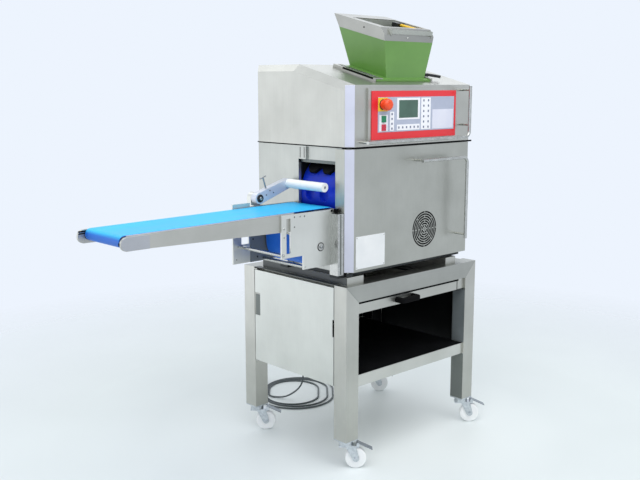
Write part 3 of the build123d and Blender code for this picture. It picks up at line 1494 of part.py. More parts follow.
drop_points = [
    (gland_x, boot_end, gland_z),
    (gland_x, boot_end + 42.0, gland_z),
    (-11.6, 360.0, 748.0),
    (-11.0, 381.0, 712.0),
    (-10.5, 388.0, 655.0),
    (-9.5, 386.0, 572.0),
    (-8.0, 378.0, 480.0),
    (-6.5, 366.0, 388.0),
    (-4.5, 352.0, 298.0),
    (-3.0, 340.0, 216.0),
    (-2.0, 334.0, 144.0),
    (-2.0, 338.0, 94.0),
    (-9.0, 354.0, 62.0),
    (-19.0, 380.0, 37.0),
    (-27.0, 410.0, 17.0),
    (-36.0, 438.0, 6.5),
    (-56.0, 473.5, coil_z),
    coil_point(coil_left[0], coil_start - 3 * coil_lead),
    coil_point(coil_left[0], coil_start),
]
drop_points = [Vector(*point) for point in drop_points]
drop_radii = []
for before, corner, after in zip(drop_points, drop_points[1:], drop_points[2:]):
    arriving, leaving = corner - before, after - corner
    half_turn = radians(arriving.get_angle(leaving)) / 2
    drop_radii.append(0.45 * min(arriving.length, leaving.length) / tan(half_turn))
print("drop radii", [round(radius) for radius in drop_radii])

with BuildPart() as cable_drop:
    with BuildLine() as drop_run:
        FilletPolyline(*drop_points, radius=drop_radii)
    with BuildSketch(Plane(origin=drop_run.line @ 0, z_dir=drop_run.line % 0)):
        Circle(cable_radius)
    sweep()
save(cable_drop, "cable_drop")

plug_z = plug_diameter / 2 + floor_gap
climb_middle = (coil_z + plug_z) / 2
with BuildPart() as cable_coil:
    with BuildLine() as coil_run:
        side_start = coil_start
        for left, right, next_left in zip(coil_left, coil_right, coil_left[1:]):
            Line(coil_point(left, side_start), coil_point(left, coil_far))
            crest = coil_point((left + right) / 2, coil_far + (right - left) / 2)
            ThreePointArc(coil_point(left, coil_far), crest, coil_point(right, coil_far))
            Line(coil_point(right, coil_far), coil_point(right, coil_near))
            trough = coil_point((next_left + right) / 2, coil_near - (right - next_left) / 2)
            ThreePointArc(coil_point(right, coil_near), trough, coil_point(next_left, coil_near))
            side_start = coil_near
        tail = coil_left[-1]
        climb_end = coil_near + 2 * plug_climb
        half_climb = coil_point(tail, coil_near + plug_climb, climb_middle)
        rise = TangentArc(coil_point(tail, coil_near), half_climb, tangent=coil_away)
        TangentArc(rise @ 1, coil_point(tail, climb_end, plug_z), tangent=rise % 1)
        plug_start = coil_point(tail, climb_end + coil_lead, plug_z)
        Line(coil_point(tail, climb_end, plug_z), plug_start)
    with BuildSketch(Plane(origin=coil_run.line @ 0, z_dir=coil_run.line % 0)):
        Circle(cable_radius)
    sweep()
save(cable_coil, "cable_coil")

coil_wire = coil_run.wires()[0]
drop_wire = drop_run.wires()[0]
coil_length = coil_wire.length
samples = [coil_wire @ (step / 700) for step in range(701)]
apart = int(700 * 8 * cable_diameter / coil_length)
least_gap = min(
    (samples[here] - samples[there]).length
    for here in range(0, 701, 2)
    for there in range(here + apart, 701)
) - cable_diameter
section_area = pi * cable_radius**2
print("coil self gap", round(least_gap, 2), "lengths", round(drop_wire.length), round(coil_length))
print(
    "tube volumes over section times length",
    round(cable_drop.part.volume / section_area / drop_wire.length, 4),
    round(cable_coil.part.volume / section_area / coil_length, 4),
)

with BuildPart() as cable_plug:
    plug_plane = Plane(origin=plug_start, x_dir=coil_across, z_dir=coil_away)
    taper_sections = []
    for along, diameter in ((0.0, boot_tip_diameter), (plug_boot, boot_diameter)):
        with BuildSketch(plug_plane.offset(along), mode=Mode.PRIVATE) as ring_section:
            Circle(diameter / 2)
        taper_sections.append(ring_section.sketch)
    loft(taper_sections, ruled=True)
    with BuildSketch(plug_plane.offset(plug_boot)):
        Circle(plug_diameter / 2)
    extrude(amount=plug_length)
    with BuildSketch(plug_plane.offset(plug_boot + plug_length)):
        with PolarLocations(plug_pin_circle / 2, plug_pins):
            Circle(plug_pin_diameter / 2)
    extrude(amount=plug_pin_length)
save(cable_plug, "cable_plug")

print("slope angle", round(degrees(slope_angle), 2))
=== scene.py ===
"""Roll moulder on a wheeled stand: finishes, small fittings, mains lead, light and camera."""
import math

import bmesh
import bpy
from mathutils import Matrix, Vector


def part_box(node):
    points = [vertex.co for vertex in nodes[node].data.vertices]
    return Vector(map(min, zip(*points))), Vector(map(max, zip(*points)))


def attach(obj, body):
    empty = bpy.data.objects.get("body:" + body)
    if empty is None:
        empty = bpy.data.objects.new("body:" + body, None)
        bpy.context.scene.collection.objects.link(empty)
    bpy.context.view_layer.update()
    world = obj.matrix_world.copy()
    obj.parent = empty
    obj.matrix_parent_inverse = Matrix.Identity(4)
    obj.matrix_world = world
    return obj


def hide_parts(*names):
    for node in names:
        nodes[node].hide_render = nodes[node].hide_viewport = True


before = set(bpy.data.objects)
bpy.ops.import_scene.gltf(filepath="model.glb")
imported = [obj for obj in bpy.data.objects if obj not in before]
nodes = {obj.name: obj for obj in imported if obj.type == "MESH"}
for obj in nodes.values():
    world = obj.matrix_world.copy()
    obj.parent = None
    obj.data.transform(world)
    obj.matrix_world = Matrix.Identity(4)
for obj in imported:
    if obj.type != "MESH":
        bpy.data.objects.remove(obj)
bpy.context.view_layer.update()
scene = bpy.context.scene
MM = 0.001

# Camera: the photograph's viewpoint, a normal lens held level and tipped slightly down
CAMERA_PLACE = (-2.4326, -2.3636, 1.340)
CAMERA_HEADING = (0.6837, 0.7298)
CAMERA_TIP = math.radians(9.92)
SENSOR_WIDTH = 36.0
LENS = 50.2
camera_data = bpy.data.cameras.new("camera")
camera_data.sensor_width = SENSOR_WIDTH
camera_data.lens = LENS
camera = bpy.data.objects.new("camera", camera_data)
camera.location = CAMERA_PLACE
looking = Vector((*CAMERA_HEADING, -math.tan(CAMERA_TIP)))
camera.rotation_euler = looking.to_track_quat("-Z", "Y").to_euler()
scene.collection.objects.link(camera)
scene.camera = camera


def linear(hex_colour):
    """Linear colour of an sRGB hex value."""
    channels = [int(hex_colour[start:start + 2], 16) / 255 for start in (1, 3, 5)]
    return [c / 12.92 if c <= 0.04045 else ((c + 0.055) / 1.055) ** 2.4 for c in channels] + [1.0]


def add_node(tree, kind, values=None, links=None, **settings):
    """Adds a node with its settings, its plain input values and the sockets that feed it."""
    node = tree.nodes.new(kind)
    for name, value in settings.items():
        setattr(node, name, value)
    for name, value in (values or {}).items():
        node.inputs[name].default_value = value
    for name, socket in (links or {}).items():
        tree.links.new(socket, node.inputs[name])
    return node


def new_material(name, **sockets):
    """Material with one Principled shader; sockets that are the same all over are set here."""
    material = bpy.data.materials.new(name)
    material.use_nodes = True
    tree = material.node_tree
    tree.nodes.clear()
    shader = add_node(tree, "ShaderNodeBsdfPrincipled")
    for socket, value in sockets.items():
        shader.inputs[socket.replace("_", " ")].default_value = value
    add_node(tree, "ShaderNodeOutputMaterial", links={"Surface": shader.outputs["BSDF"]})
    return material, tree, shader


def pattern(tree, size_mm, stretch=(1, 1, 1), detail=3.0):
    """Noise on Object coordinates with features of a real size, stretched along axes."""
    place = add_node(tree, "ShaderNodeTexCoord")
    scale = [1000 / (size_mm * factor) for factor in stretch]
    mapped = add_node(tree, "ShaderNodeMapping", {"Scale": scale}, {"Vector": place.outputs["Object"]})
    noise = add_node(
        tree, "ShaderNodeTexNoise", {"Scale": 1.0, "Detail": detail, "Roughness": 0.55},
        {"Vector": mapped.outputs["Vector"]},
    )
    return noise.outputs["Fac"]


def between(tree, factor, low, high, from_low=0.35, from_high=0.65):
    """Number that follows a pattern between two values."""
    spread = add_node(
        tree, "ShaderNodeMapRange",
        {"From Min": from_low, "From Max": from_high, "To Min": low, "To Max": high}, {"Value": factor},
    )
    return spread.outputs["Result"]


def tinted(tree, factor, first, second):
    """Colour that follows a pattern between two hex values."""
    ramp = add_node(tree, "ShaderNodeValToRGB", links={"Fac": factor})
    for element, position, colour in zip(ramp.color_ramp.elements, (0.3, 0.7), (first, second)):
        element.position = position
        element.color = linear(colour)
    return ramp.outputs["Color"]


def soft_edges(tree, shader, height, depth_mm, edge_mm):
    """Surface relief from a pattern, over edges that catch the light as rounded ones do."""
    edge = add_node(tree, "ShaderNodeBevel", {"Radius": edge_mm * MM}, samples=4)
    bump = add_node(
        tree, "ShaderNodeBump", {"Distance": depth_mm * MM, "Strength": 1.0},
        {"Height": height, "Normal": edge.outputs["Normal"]},
    )
    tree.links.new(bump.outputs["Normal"], shader.inputs["Normal"])


def colour_and_polish(tree, shader, tone, colours, wear, rough):
    """Colour between two hex values by one pattern, and roughness between two values by another."""
    tree.links.new(tinted(tree, tone, *colours), shader.inputs["Base Color"])
    tree.links.new(between(tree, wear, *rough), shader.inputs["Roughness"])


def brushed_stainless(name, grain, dark="#b3b3ac", light="#c0c0b9", rough=(0.3, 0.42), metal=1.0):
    """Cold-rolled stainless sheet, belt-ground one way: soft reflections drawn out across fine parallel
    lines, with faint cloudy patches from wiping. Real lines are 0.2 mm apart; 2.4 mm shows here."""
    material, tree, shader = new_material(name, Metallic=metal)
    stretch = [1.0, 1.0, 1.0]
    stretch["xyz".index(grain)] = 60.0
    lines = pattern(tree, size_mm=2.4, stretch=stretch, detail=2.0)
    clouds = pattern(tree, size_mm=160.0, detail=4.0)
    colour_and_polish(tree, shader, clouds, (dark, light), lines, rough)
    soft_edges(tree, shader, lines, depth_mm=0.02, edge_mm=1.0)
    return material


def turned_steel(name, dark="#a9aaa6", light="#c2c3bf"):
    """Drawn or turned bright steel bar: smoother than sheet, a tight bright highlight, faint rings."""
    material, tree, shader = new_material(name, Metallic=1.0)
    rings = pattern(tree, size_mm=3.0, stretch=(8, 1, 8))
    colour_and_polish(tree, shader, rings, (dark, light), rings, (0.2, 0.3))
    soft_edges(tree, shader, rings, depth_mm=0.01, edge_mm=0.5)
    return material


def zinc_plate(name):
    """Bright zinc plating on pressed steel: pale, slightly blue, with soft mottled spangle."""
    material, tree, shader = new_material(name, Metallic=1.0)
    spangle = pattern(tree, size_mm=9.0)
    colour_and_polish(tree, shader, spangle, ("#b5bbc0", "#d5dadd"), spangle, (0.28, 0.4))
    soft_edges(tree, shader, spangle, depth_mm=0.02, edge_mm=0.6)
    return material


def moulded_plastic(name, dark, light, rough, grit_mm=1.2, depth_mm=0.03, edge_mm=0.8, **sockets):
    """Injection-moulded plastic: a fine sprayed grain that breaks up the highlight, colour near even."""
    material, tree, shader = new_material(name, IOR=1.49, **sockets)
    grit = pattern(tree, grit_mm)
    clouds = pattern(tree, size_mm=70.0)
    colour_and_polish(tree, shader, clouds, (dark, light), clouds, (rough - 0.05, rough + 0.05))
    soft_edges(tree, shader, grit, depth_mm, edge_mm)
    return material


def printed_film(name, dark, light):
    """Polyester film printed on its back: even colour under a satin skin with hardly any relief."""
    return moulded_plastic(name, dark, light, rough=0.4, grit_mm=1.5, depth_mm=0.005, edge_mm=0.3)


def powder_coat(name, dark, light, rough, edge_mm=1.2):
    """Powder-coated sheet: even colour, a slight orange peel about 2.5 mm across, a clear glossy skin."""
    material, tree, shader = new_material(name, IOR=1.5, Coat_Weight=0.25, Coat_Roughness=0.2)
    peel = pattern(tree, size_mm=2.5)
    clouds = pattern(tree, size_mm=120.0)
    colour_and_polish(tree, shader, clouds, (dark, light), clouds, (rough - 0.04, rough + 0.06))
    soft_edges(tree, shader, peel, depth_mm=0.03, edge_mm=edge_mm)
    return material


def woven_belt(name):
    """Food conveyor belt: polyurethane on polyester weave, satin, with the weave's faint relief, and a
    deeper blue on faces that look downward, which is painted shade. Real threads are 0.6 mm apart; drawn 3
    mm so that they show."""
    material, tree, shader = new_material(name, IOR=1.5, Specular_IOR_Level=0.35)
    place = add_node(tree, "ShaderNodeTexCoord").outputs["Object"]
    thread_mm = 3.0
    waves_per_unit = 20
    threads = []
    for direction in ("X", "Y"):
        wave = add_node(
            tree, "ShaderNodeTexWave", {"Scale": 1000 / (thread_mm * waves_per_unit), "Distortion": 0.2},
            {"Vector": place}, bands_direction=direction,
        )
        threads.append(wave.outputs["Fac"])
    weave = add_node(tree, "ShaderNodeMath", operation="MULTIPLY")
    for socket, thread in zip(weave.inputs, threads):
        tree.links.new(thread, socket)
    wear = pattern(tree, size_mm=90.0, stretch=(3, 1, 1))
    # Faces turned downward get the deeper blue: painted shade
    facing = add_node(tree, "ShaderNodeNewGeometry").outputs["Normal"]
    upward = add_node(tree, "ShaderNodeSeparateXYZ", links={"Vector": facing}).outputs["Z"]
    blue_and_painted_shade = add_node(tree, "ShaderNodeMixRGB", links={
        "Fac": between(tree, upward, 0.0, 1.0, from_low=0.3, from_high=0.8),
        "Color1": tinted(tree, wear, "#1a6ad2", "#2074dc"),
        "Color2": tinted(tree, wear, "#20aee2", "#30baec"),
    })
    tree.links.new(blue_and_painted_shade.outputs["Color"], shader.inputs["Base Color"])
    tree.links.new(between(tree, wear, 0.42, 0.55), shader.inputs["Roughness"])
    soft_edges(tree, shader, weave.outputs["Value"], depth_mm=0.05, edge_mm=0.5)
    return material


# Sheet metal: one grade of stainless. The plate, rim, panel, corner, door, wall, rail and shelf tones are
# set piece by piece to the light and shade on them: lighter tones are painted light, darker tones painted
# shade, and the corner tone is a painted highlight
stainless_upright = brushed_stainless("stainless_brushed_upright", "z")
stainless_across = brushed_stainless("stainless_brushed_across", "x")
stainless_deep = brushed_stainless("stainless_brushed_deep", "y")
plate_painted_light = brushed_stainless("stainless_plate_painted_light", "z", "#d0d1cb", "#dadbd5", (0.36, 0.48))
rim_painted_shade = brushed_stainless("stainless_rim_painted_shade", "x", "#999994", "#a6a6a0")
panel_painted_light = brushed_stainless("stainless_panel_painted_light", "z", "#c6c8c2", "#d0d2cc", (0.34, 0.46))
corner_highlight = brushed_stainless("stainless_corner_painted_highlight", "z", "#c6c7d0", "#d2d2dc", (0.3, 0.4))
door_satin = brushed_stainless("stainless_door_satin", "z", "#a9aaa2", "#b5b6ae")
wall_satin = brushed_stainless("stainless_wall_satin", "z", "#a9aba6", "#b6b8b2")
rail_satin = brushed_stainless("stainless_rail_satin", "x", "#a0a19b", "#adaea8")
shelf_satin = brushed_stainless("stainless_shelf_satin", "y", "#c4c5be", "#d0d0ca")
arm_satin = brushed_stainless("stainless_arm_satin", "x", "#ccd0da", "#d8dce4", (0.4, 0.5), 0.55)
block_satin = brushed_stainless("stainless_block_satin", "x", "#adafb3", "#b9bbbf", (0.36, 0.48))
seam_steel = brushed_stainless("stainless_ground_seam", "x", "#8d908c", "#9da09b", (0.4, 0.5))
stainless_blasted = brushed_stainless("stainless_bead_blasted", "x", "#a4a8a2", "#b2b6b0", (0.5, 0.6), 0.35)
pedal_steel = brushed_stainless("steel_pressed_grey", "x", "#868d92", "#989ea3", (0.35, 0.45))
# Mid-grey tone for sheets that stand for shaded faces and recesses (lintel strip, lower leg, keeper, post
# groove): painted shade
shade_grey_steel = brushed_stainless("steel_plate_painted_shade_grey", "z", "#6c716e", "#7a7f7b", (0.4, 0.5), 0.6)
# Near-black tone for the chassis and drawer runners, which stand in shade: painted shade
painted_shade_plate = brushed_stainless("steel_plate_painted_shade", "x", "#3c3e3e", "#484a4a", (0.45, 0.6))

# Bars, plating, coats and the belt
bright_bar = turned_steel("steel_bar_bright")
roller_steel = turned_steel("steel_roller", "#8f9192", "#a9abab")
zinc = zinc_plate("zinc_plated_steel")
hopper_coat = powder_coat("powder_coat_green", "#5c8b3c", "#679646", 0.34)
fascia_coat = powder_coat("powder_coat_red", "#dd1f2b", "#e62a34", 0.42, edge_mm=0.6)
motor_paint = powder_coat("enamel_grey_casting", "#5f666b", "#6b7277", 0.45)
# Grey coats for thin sheets laid over the legs, bearers, rail top and behind the drive roller, where there
# is only shade and dark reflection: painted shade and painted reflection
leg_shade = powder_coat("painted_shade_grey_satin", "#6a7173", "#787f81", 0.5)
bearer_shade = powder_coat("painted_shade_grey_dark", "#3f4443", "#4b504f", 0.5)
belt_weave = woven_belt("polyurethane_belt_blue")

# Plastics, rubber and films
drum_plastic = moulded_plastic("polyacetal_blue", "#0a2bb0", "#1238c8", 0.4, Specular_IOR_Level=0.3)
black_plastic = moulded_plastic("polyamide_black", "#121314", "#1c1d1f", 0.45)
shoe_plastic = moulded_plastic("polyethylene_black", "#040506", "#0a0b0d", 0.6, Specular_IOR_Level=0.15)
white_plastic = moulded_plastic("polyacetal_white", "#eceeee", "#f6f7f7", 0.3, 2.0, 0.01)
wheel_plastic = moulded_plastic("polyamide_white", "#eceeee", "#f6f7f7", 0.38)
# Grey for the rings round the wheels' edges: painted shade
wheel_edge_shade = moulded_plastic("painted_shade_wheel_edge", "#5c6164", "#6a6f72", 0.5)
estop_plastic = moulded_plastic("abs_signal_red", "#e8481c", "#f0562a", 0.3, 1.5, 0.01)
start_plastic = moulded_plastic("abs_green", "#147a50", "#1c8a5e", 0.3, 1.5, 0.01, 0.5)
stop_plastic = moulded_plastic("abs_red", "#bf2740", "#cd3049", 0.3, 1.5, 0.01, 0.5)
collar_plastic = moulded_plastic("abs_yellow", "#f2c92a", "#fad53c", 0.35, 1.5, 0.01, 0.5)
probe_yellow = moulded_plastic("polyethylene_yellow", "#e2b41c", "#efc530", 0.4)
cable_sheath = moulded_plastic("pvc_sheath_grey", "#4b5254", "#5a6264", 0.5, 2.5, 0.05)
# Matt black for the drawer pull, and for the sheets and rounds laid in gaps, slots and holes, where it is
# painted shade
black_and_painted_shade = moulded_plastic("black_matt_and_painted_shade", "#050506", "#0a0a0b", 0.8, Specular_IOR_Level=0.1)
membrane_film = printed_film("polyester_film_grey", "#aab2c6", "#b6bdd0")
field_film = printed_film("polyester_film_white", "#eef0f6", "#f7f8fb")
lilac_film = printed_film("polyester_film_lilac", "#d9dcec", "#e3e5f1")
mark_film = printed_film("polyester_film_slate", "#5d6682", "#6b7490")
display_glass = moulded_plastic("liquid_crystal_glass", "#3f5c50", "#4a6a5c", 0.16, 3.0, 0.0, 0.3)
blank_film = moulded_plastic("aluminium_plate_lacquered", "#dfe2e4", "#e9ebec", 0.4, 2.0, 0.01, 0.4)

CORNERS = ("fl", "fr", "rl", "rr")
finishes = {
    stainless_upright: ("hood", "stand_legs"),
    door_satin: ("front_door",),
    wall_satin: ("lower_shell",),
    panel_painted_light: ("side_door", "stand_panels"),
    rim_painted_shade: ("hopper_rim",),
    stainless_across: ("drawer_tray", "control_box", "conveyor_rails", "hopper_guides", "door_pivots"),
    stainless_deep: ("bearer_bars",),
    rail_satin: ("stand_rails",),
    shelf_satin: ("stand_shelf",),
    plate_painted_light: ("front_side_plate", "rear_side_plate"),
    arm_satin: ("press_arm",),
    painted_shade_plate: ("chassis", "drawer_runners"),
    bright_bar: ("hood_rail", "door_handle", "conveyor_supports"),
    roller_steel: ("nose_roller", "clamp_screw"),
    zinc: ("caster_plates", *(f"caster_fork_{corner}" for corner in CORNERS)),
    pedal_steel: tuple(f"caster_pedal_{corner}" for corner in CORNERS),
    wheel_plastic: tuple(f"caster_wheel_{corner}" for corner in CORNERS),
    hopper_coat: ("hopper",),
    fascia_coat: ("control_fascia",),
    belt_weave: ("conveyor_belt",),
    drum_plastic: ("moulding_drum", "drive_roller"),
    black_plastic: ("fan_frame", "fan_rotor", "hopper_latch", "level_probe", "cable_gland", "cable_plug"),
    shoe_plastic: ("moulding_shoe",),
    black_and_painted_shade: ("drawer_pull",),
    white_plastic: ("press_roller", "feed_roller_left", "feed_roller_right"),
    estop_plastic: ("estop_button",),
    start_plastic: ("start_button",),
    stop_plastic: ("stop_button",),
    motor_paint: ("gear_motor",),
    cable_sheath: ("cable_drop", "cable_coil"),
}
for finish, names in finishes.items():
    for name in names:
        nodes[name].data.materials.clear()
        nodes[name].data.materials.append(finish)

# Mains lead: one smooth line from the gland down behind the stand, round the loose coil to the plug
CABLE_DIAMETER = 0.007
LEAD_EXIT = (-0.012, 0.285, 0.770)
COIL_MIDDLE = Vector((0.025, 0.408, 0.0))
COIL_TURN = math.radians(-43.1)
COIL_ACROSS = Vector((math.cos(COIL_TURN), math.sin(COIL_TURN), 0.0))
COIL_AWAY = Vector((-COIL_ACROSS.y, COIL_ACROSS.x, 0.0))
COIL_LEFT = (-0.122, -0.130, -0.138, -0.167)
COIL_RIGHT = (0.094, 0.133, 0.157)
COIL_START = 0.016
COIL_FAR = 0.098
COIL_NEAR = 0.012
COIL_HEIGHT = 0.0040
SIDE_EASE = 0.030
TURN_STEPS = 6
PLUG_HEIGHT = 0.0225


def coil_place(across, away, height=COIL_HEIGHT):
    """Place on the floor by the coil's own axes."""
    return COIL_MIDDLE + COIL_ACROSS * across + COIL_AWAY * away + Vector((0, 0, height))


def half_turn(start, end, centre, side):
    """Control places round half a turn of the coil, on the lines that touch it."""
    middle_across, radius = (start + end) / 2, abs(end - start) / 2
    tangent = radius / math.cos(math.pi / TURN_STEPS / 2)
    for step in range(TURN_STEPS):
        swing = math.pi * (step + 0.5) / TURN_STEPS
        across = middle_across - math.copysign(tangent, end - start) * math.cos(swing)
        yield coil_place(across, centre + side * tangent * math.sin(swing))


lead_points = [Vector(point) for point in (
    LEAD_EXIT,
    (-0.0120, 0.327, 0.770),
    (-0.0116, 0.360, 0.748),
    (-0.0110, 0.381, 0.712),
    (-0.0105, 0.388, 0.655),
    (-0.0095, 0.386, 0.572),
    (-0.0080, 0.378, 0.480),
    (-0.0065, 0.366, 0.388),
    (-0.0045, 0.352, 0.298),
    (-0.0030, 0.340, 0.216),
    (-0.0020, 0.334, 0.144),
    (-0.0020, 0.338, 0.094),
    (-0.0090, 0.354, 0.062),
    (-0.0190, 0.380, 0.037),
    (-0.0270, 0.410, 0.017),
    (-0.0360, 0.438, 0.0065),
    (-0.0560, 0.4735, 0.0040),
)]
lead_points.append(coil_place(COIL_LEFT[0], COIL_START))
for left, right, next_left in zip(COIL_LEFT, COIL_RIGHT, COIL_LEFT[1:]):
    lead_points.append(coil_place(left, COIL_FAR - SIDE_EASE))
    lead_points += half_turn(left, right, COIL_FAR, 1)
    lead_points += [coil_place(right, COIL_FAR - SIDE_EASE), coil_place(right, COIL_NEAR + SIDE_EASE)]
    lead_points += half_turn(right, next_left, COIL_NEAR, -1)
    if next_left != COIL_LEFT[-1]:
        lead_points.append(coil_place(next_left, COIL_NEAR + SIDE_EASE))
lead_points += [coil_place(COIL_LEFT[-1], away, height) for away, height in (
    (0.032, 0.0042),
    (0.057, 0.0132),
    (0.082, 0.0222),
    (0.100, PLUG_HEIGHT),
    (0.112, PLUG_HEIGHT),
)]

lead_curve = bpy.data.curves.new("mains_lead", "CURVE")
lead_curve.dimensions = "3D"
lead_curve.bevel_depth = CABLE_DIAMETER / 2
lead_curve.bevel_resolution = 4
lead_curve.use_fill_caps = True
lead_spline = lead_curve.splines.new("NURBS")
lead_spline.points.add(len(lead_points) - 1)
for control, point in zip(lead_spline.points, lead_points):
    control.co = (*point, 1.0)
lead_spline.order_u = 3
lead_spline.use_endpoint_u = True
lead_spline.resolution_u = 6
lead_curve.materials.append(cable_sheath)
mains_lead = bpy.data.objects.new("mains_lead", lead_curve)
scene.collection.objects.link(mains_lead)
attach(mains_lead, "frame")
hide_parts("cable_drop", "cable_coil")


def reach(node):
    """Lowest and highest corners of a node at rest, in millimetres to a hundredth."""
    return [[round(value / MM, 2) for value in corner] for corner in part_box(node)]


def middle(node):
    """Middle of a node's box at rest, in millimetres."""
    return [(low + high) / 2 for low, high in zip(*reach(node))]


def add_piece(name, mesh, body, material=None):
    """New piece from a finished mesh, riding on a body and taking a slot's finish."""
    piece = bpy.data.objects.new(name, mesh)
    scene.collection.objects.link(piece)
    if material:
        mesh.materials.clear()
        mesh.materials.append(material)
    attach(piece, body)
    return piece


def bars(name, spans, body, material, bevel=0.3, place=Matrix.Identity(4)):
    """Piece of small bevelled blocks, each between limits in millimetres on three axes."""
    shape = bmesh.new()
    for span in spans:
        made = bmesh.ops.create_cube(shape, size=1.0)["verts"]
        bmesh.ops.scale(shape, vec=[high - low for low, high in span], verts=made)
        bmesh.ops.translate(shape, vec=[(low + high) / 2 for low, high in span], verts=made)
    if bevel:
        bmesh.ops.bevel(shape, geom=shape.edges[:], offset=bevel, segments=2, affect="EDGES")
    bmesh.ops.transform(shape, matrix=Matrix.Scale(MM, 4) @ place, verts=shape.verts[:])
    mesh = bpy.data.meshes.new(name)
    shape.to_mesh(mesh)
    shape.free()
    return add_piece(name, mesh, body, material)


def steel_skins(name, spans, material, bevel, body="frame", place=Matrix.Identity(4)):
    """Thin steel strips, plates and covers."""
    return bars(name, spans, body, material, bevel, place)


def dark_gaps(name, spans, bevel, body="frame", place=Matrix.Identity(4)):
    """Seals, slots and gaps drawn as thin matt black sheets; in gaps and slots the black is painted shade.
    """
    return bars(name, spans, body, black_and_painted_shade, bevel, place)


def lathe(profile, segments):
    """Closed turned shape about Z from a profile of radius and height in millimetres."""
    shape = bmesh.new()
    rings = []
    for radius, height in profile:
        if radius == 0:
            rings.append([shape.verts.new((0, 0, height * MM))])
            continue
        rings.append([
            shape.verts.new((radius * math.cos(a) * MM, radius * math.sin(a) * MM, height * MM))
            for a in (2 * math.pi * step / segments for step in range(segments))
        ])
    for lower, upper in zip(rings, rings[1:]):
        for step in range(segments):
            after = (step + 1) % segments
            corners = [lower[step % len(lower)], lower[after % len(lower)]]
            corners += [upper[after % len(upper)], upper[step % len(upper)]]
            shape.faces.new(list(dict.fromkeys(corners)))
    mesh = bpy.data.meshes.new("turned_template")
    shape.to_mesh(mesh)
    shape.free()
    return mesh


def fastener_tree():
    """Node tree that sets a copy of a fastener on every place, turned along its aim."""
    tree = bpy.data.node_groups.new("set_fasteners", "GeometryNodeTree")
    inputs = (("Places", "Geometry"), ("Fastener", "Object"), ("Finish", "Material"), ("Size", "Float"))
    for name, kind in inputs:
        tree.interface.new_socket(name, in_out="INPUT", socket_type=f"NodeSocket{kind}")
    tree.interface.new_socket("Set", in_out="OUTPUT", socket_type="NodeSocketGeometry")
    given = add_node(tree, "NodeGroupInput")
    aim = add_node(tree, "GeometryNodeInputNamedAttribute", {"Name": "aim"}, data_type="FLOAT_VECTOR")
    turn = add_node(
        tree, "FunctionNodeAlignRotationToVector", links={"Vector": aim.outputs["Attribute"]}, axis="Z")
    template = add_node(tree, "GeometryNodeObjectInfo", links={"Object": given.outputs["Fastener"]})
    copies = add_node(tree, "GeometryNodeInstanceOnPoints", links={
        "Points": given.outputs["Places"],
        "Instance": template.outputs["Geometry"],
        "Rotation": turn.outputs["Rotation"],
        "Scale": given.outputs["Size"],
    })
    whole = add_node(tree, "GeometryNodeRealizeInstances", links={"Geometry": copies.outputs["Instances"]})
    finish = add_node(tree, "GeometryNodeSetMaterial", links={
        "Geometry": whole.outputs["Geometry"], "Material": given.outputs["Finish"],
    })
    add_node(tree, "NodeGroupOutput", links={"Set": finish.outputs["Geometry"]})
    return tree


# Fasteners and turned trim: each profile is radius and height in millimetres
FASTENERS = fastener_tree()
TEMPLATES = {
    "cap_screw": lathe(
        ((0, -1.0), (4.2, -1.0), (4.2, 3.2), (3.6, 3.9), (2.3, 3.9), (2.1, 1.6), (0, 1.4)), 24),
    "button_screw": lathe(
        ((0, -0.6), (4.0, -0.6), (4.0, 0.5), (3.4, 1.5), (2.4, 2.1), (1.5, 2.2), (1.3, 1.0), (0, 0.9)), 24),
    "hex_nut": lathe((
        (0, -0.5), (6.6, -0.5), (6.9, 0.2), (6.9, 4.2), (6.2, 5.0),
        (3.4, 5.0), (3.2, 7.0), (2.6, 7.6), (0, 7.6),
    ), 6),
    "rivet": lathe(((0, -0.4), (2.4, -0.4), (2.4, 0.1), (1.9, 0.8), (1.0, 1.1), (0, 1.2)), 16),
    "hole_ring": lathe(((0, -0.2), (3.0, -0.2), (3.0, 0.25), (0, 0.25)), 20),
    "disc": lathe(((0, -0.3), (9.6, -0.3), (10.0, 0), (10.0, 0.6), (9.6, 0.9), (0, 0.9)), 40),
    "collar": lathe(((0, -0.3), (14.8, -0.3), (15.2, 0.2), (15.2, 5.0), (14.4, 5.8), (0, 5.8)), 40),
    "wheel_cap": lathe(((13.2, 11.4), (28.4, 11.4), (28.4, 12.2), (13.2, 12.2), (13.2, 11.4)), 48),
    "tread": lathe(((35.2, -11.8), (37.3, -9.6), (37.3, 9.6), (35.2, 11.8), (35.2, -11.8)), 64),
    "sleeve": lathe(((0, 0), (5.6, 0), (5.6, 90.0), (0, 90.0)), 24),
}


def fasteners(name, kind, places, body, finish, size=1.0):
    """Piece of repeated fasteners, each place a point in millimetres and the way that it faces."""
    mesh = bpy.data.meshes.new(name)
    mesh.from_pydata([[value * MM for value in point] for point, _ in places], [], [])
    aim = mesh.attributes.new("aim", "FLOAT_VECTOR", "POINT")
    aim.data.foreach_set("vector", [value for _, facing in places for value in facing])
    holder = bpy.data.objects.new(name + "_places", mesh)
    template = bpy.data.objects.new(name + "_template", TEMPLATES[kind])
    scene.collection.objects.link(holder)
    scene.collection.objects.link(template)
    modifier = holder.modifiers.new("fasteners", "NODES")
    modifier.node_group = FASTENERS
    given = {"Fastener": template, "Finish": finish, "Size": size}
    for socket in FASTENERS.interface.items_tree:
        if socket.in_out == "INPUT" and socket.name in given:
            modifier[socket.identifier] = given[socket.name]
    graph = bpy.context.evaluated_depsgraph_get()
    made = bpy.data.meshes.new_from_object(holder.evaluated_get(graph), depsgraph=graph)
    made.name = name
    holder.modifiers.remove(modifier)
    bpy.data.objects.remove(holder)
    bpy.data.objects.remove(template)
    return add_piece(name, made, body)


def steel_fasteners(name, kind, places, size=1.0, finish=bright_bar, body="frame"):
    """Screws, nuts, rivets and washers of bright steel."""
    return fasteners(name, kind, places, body, finish, size)


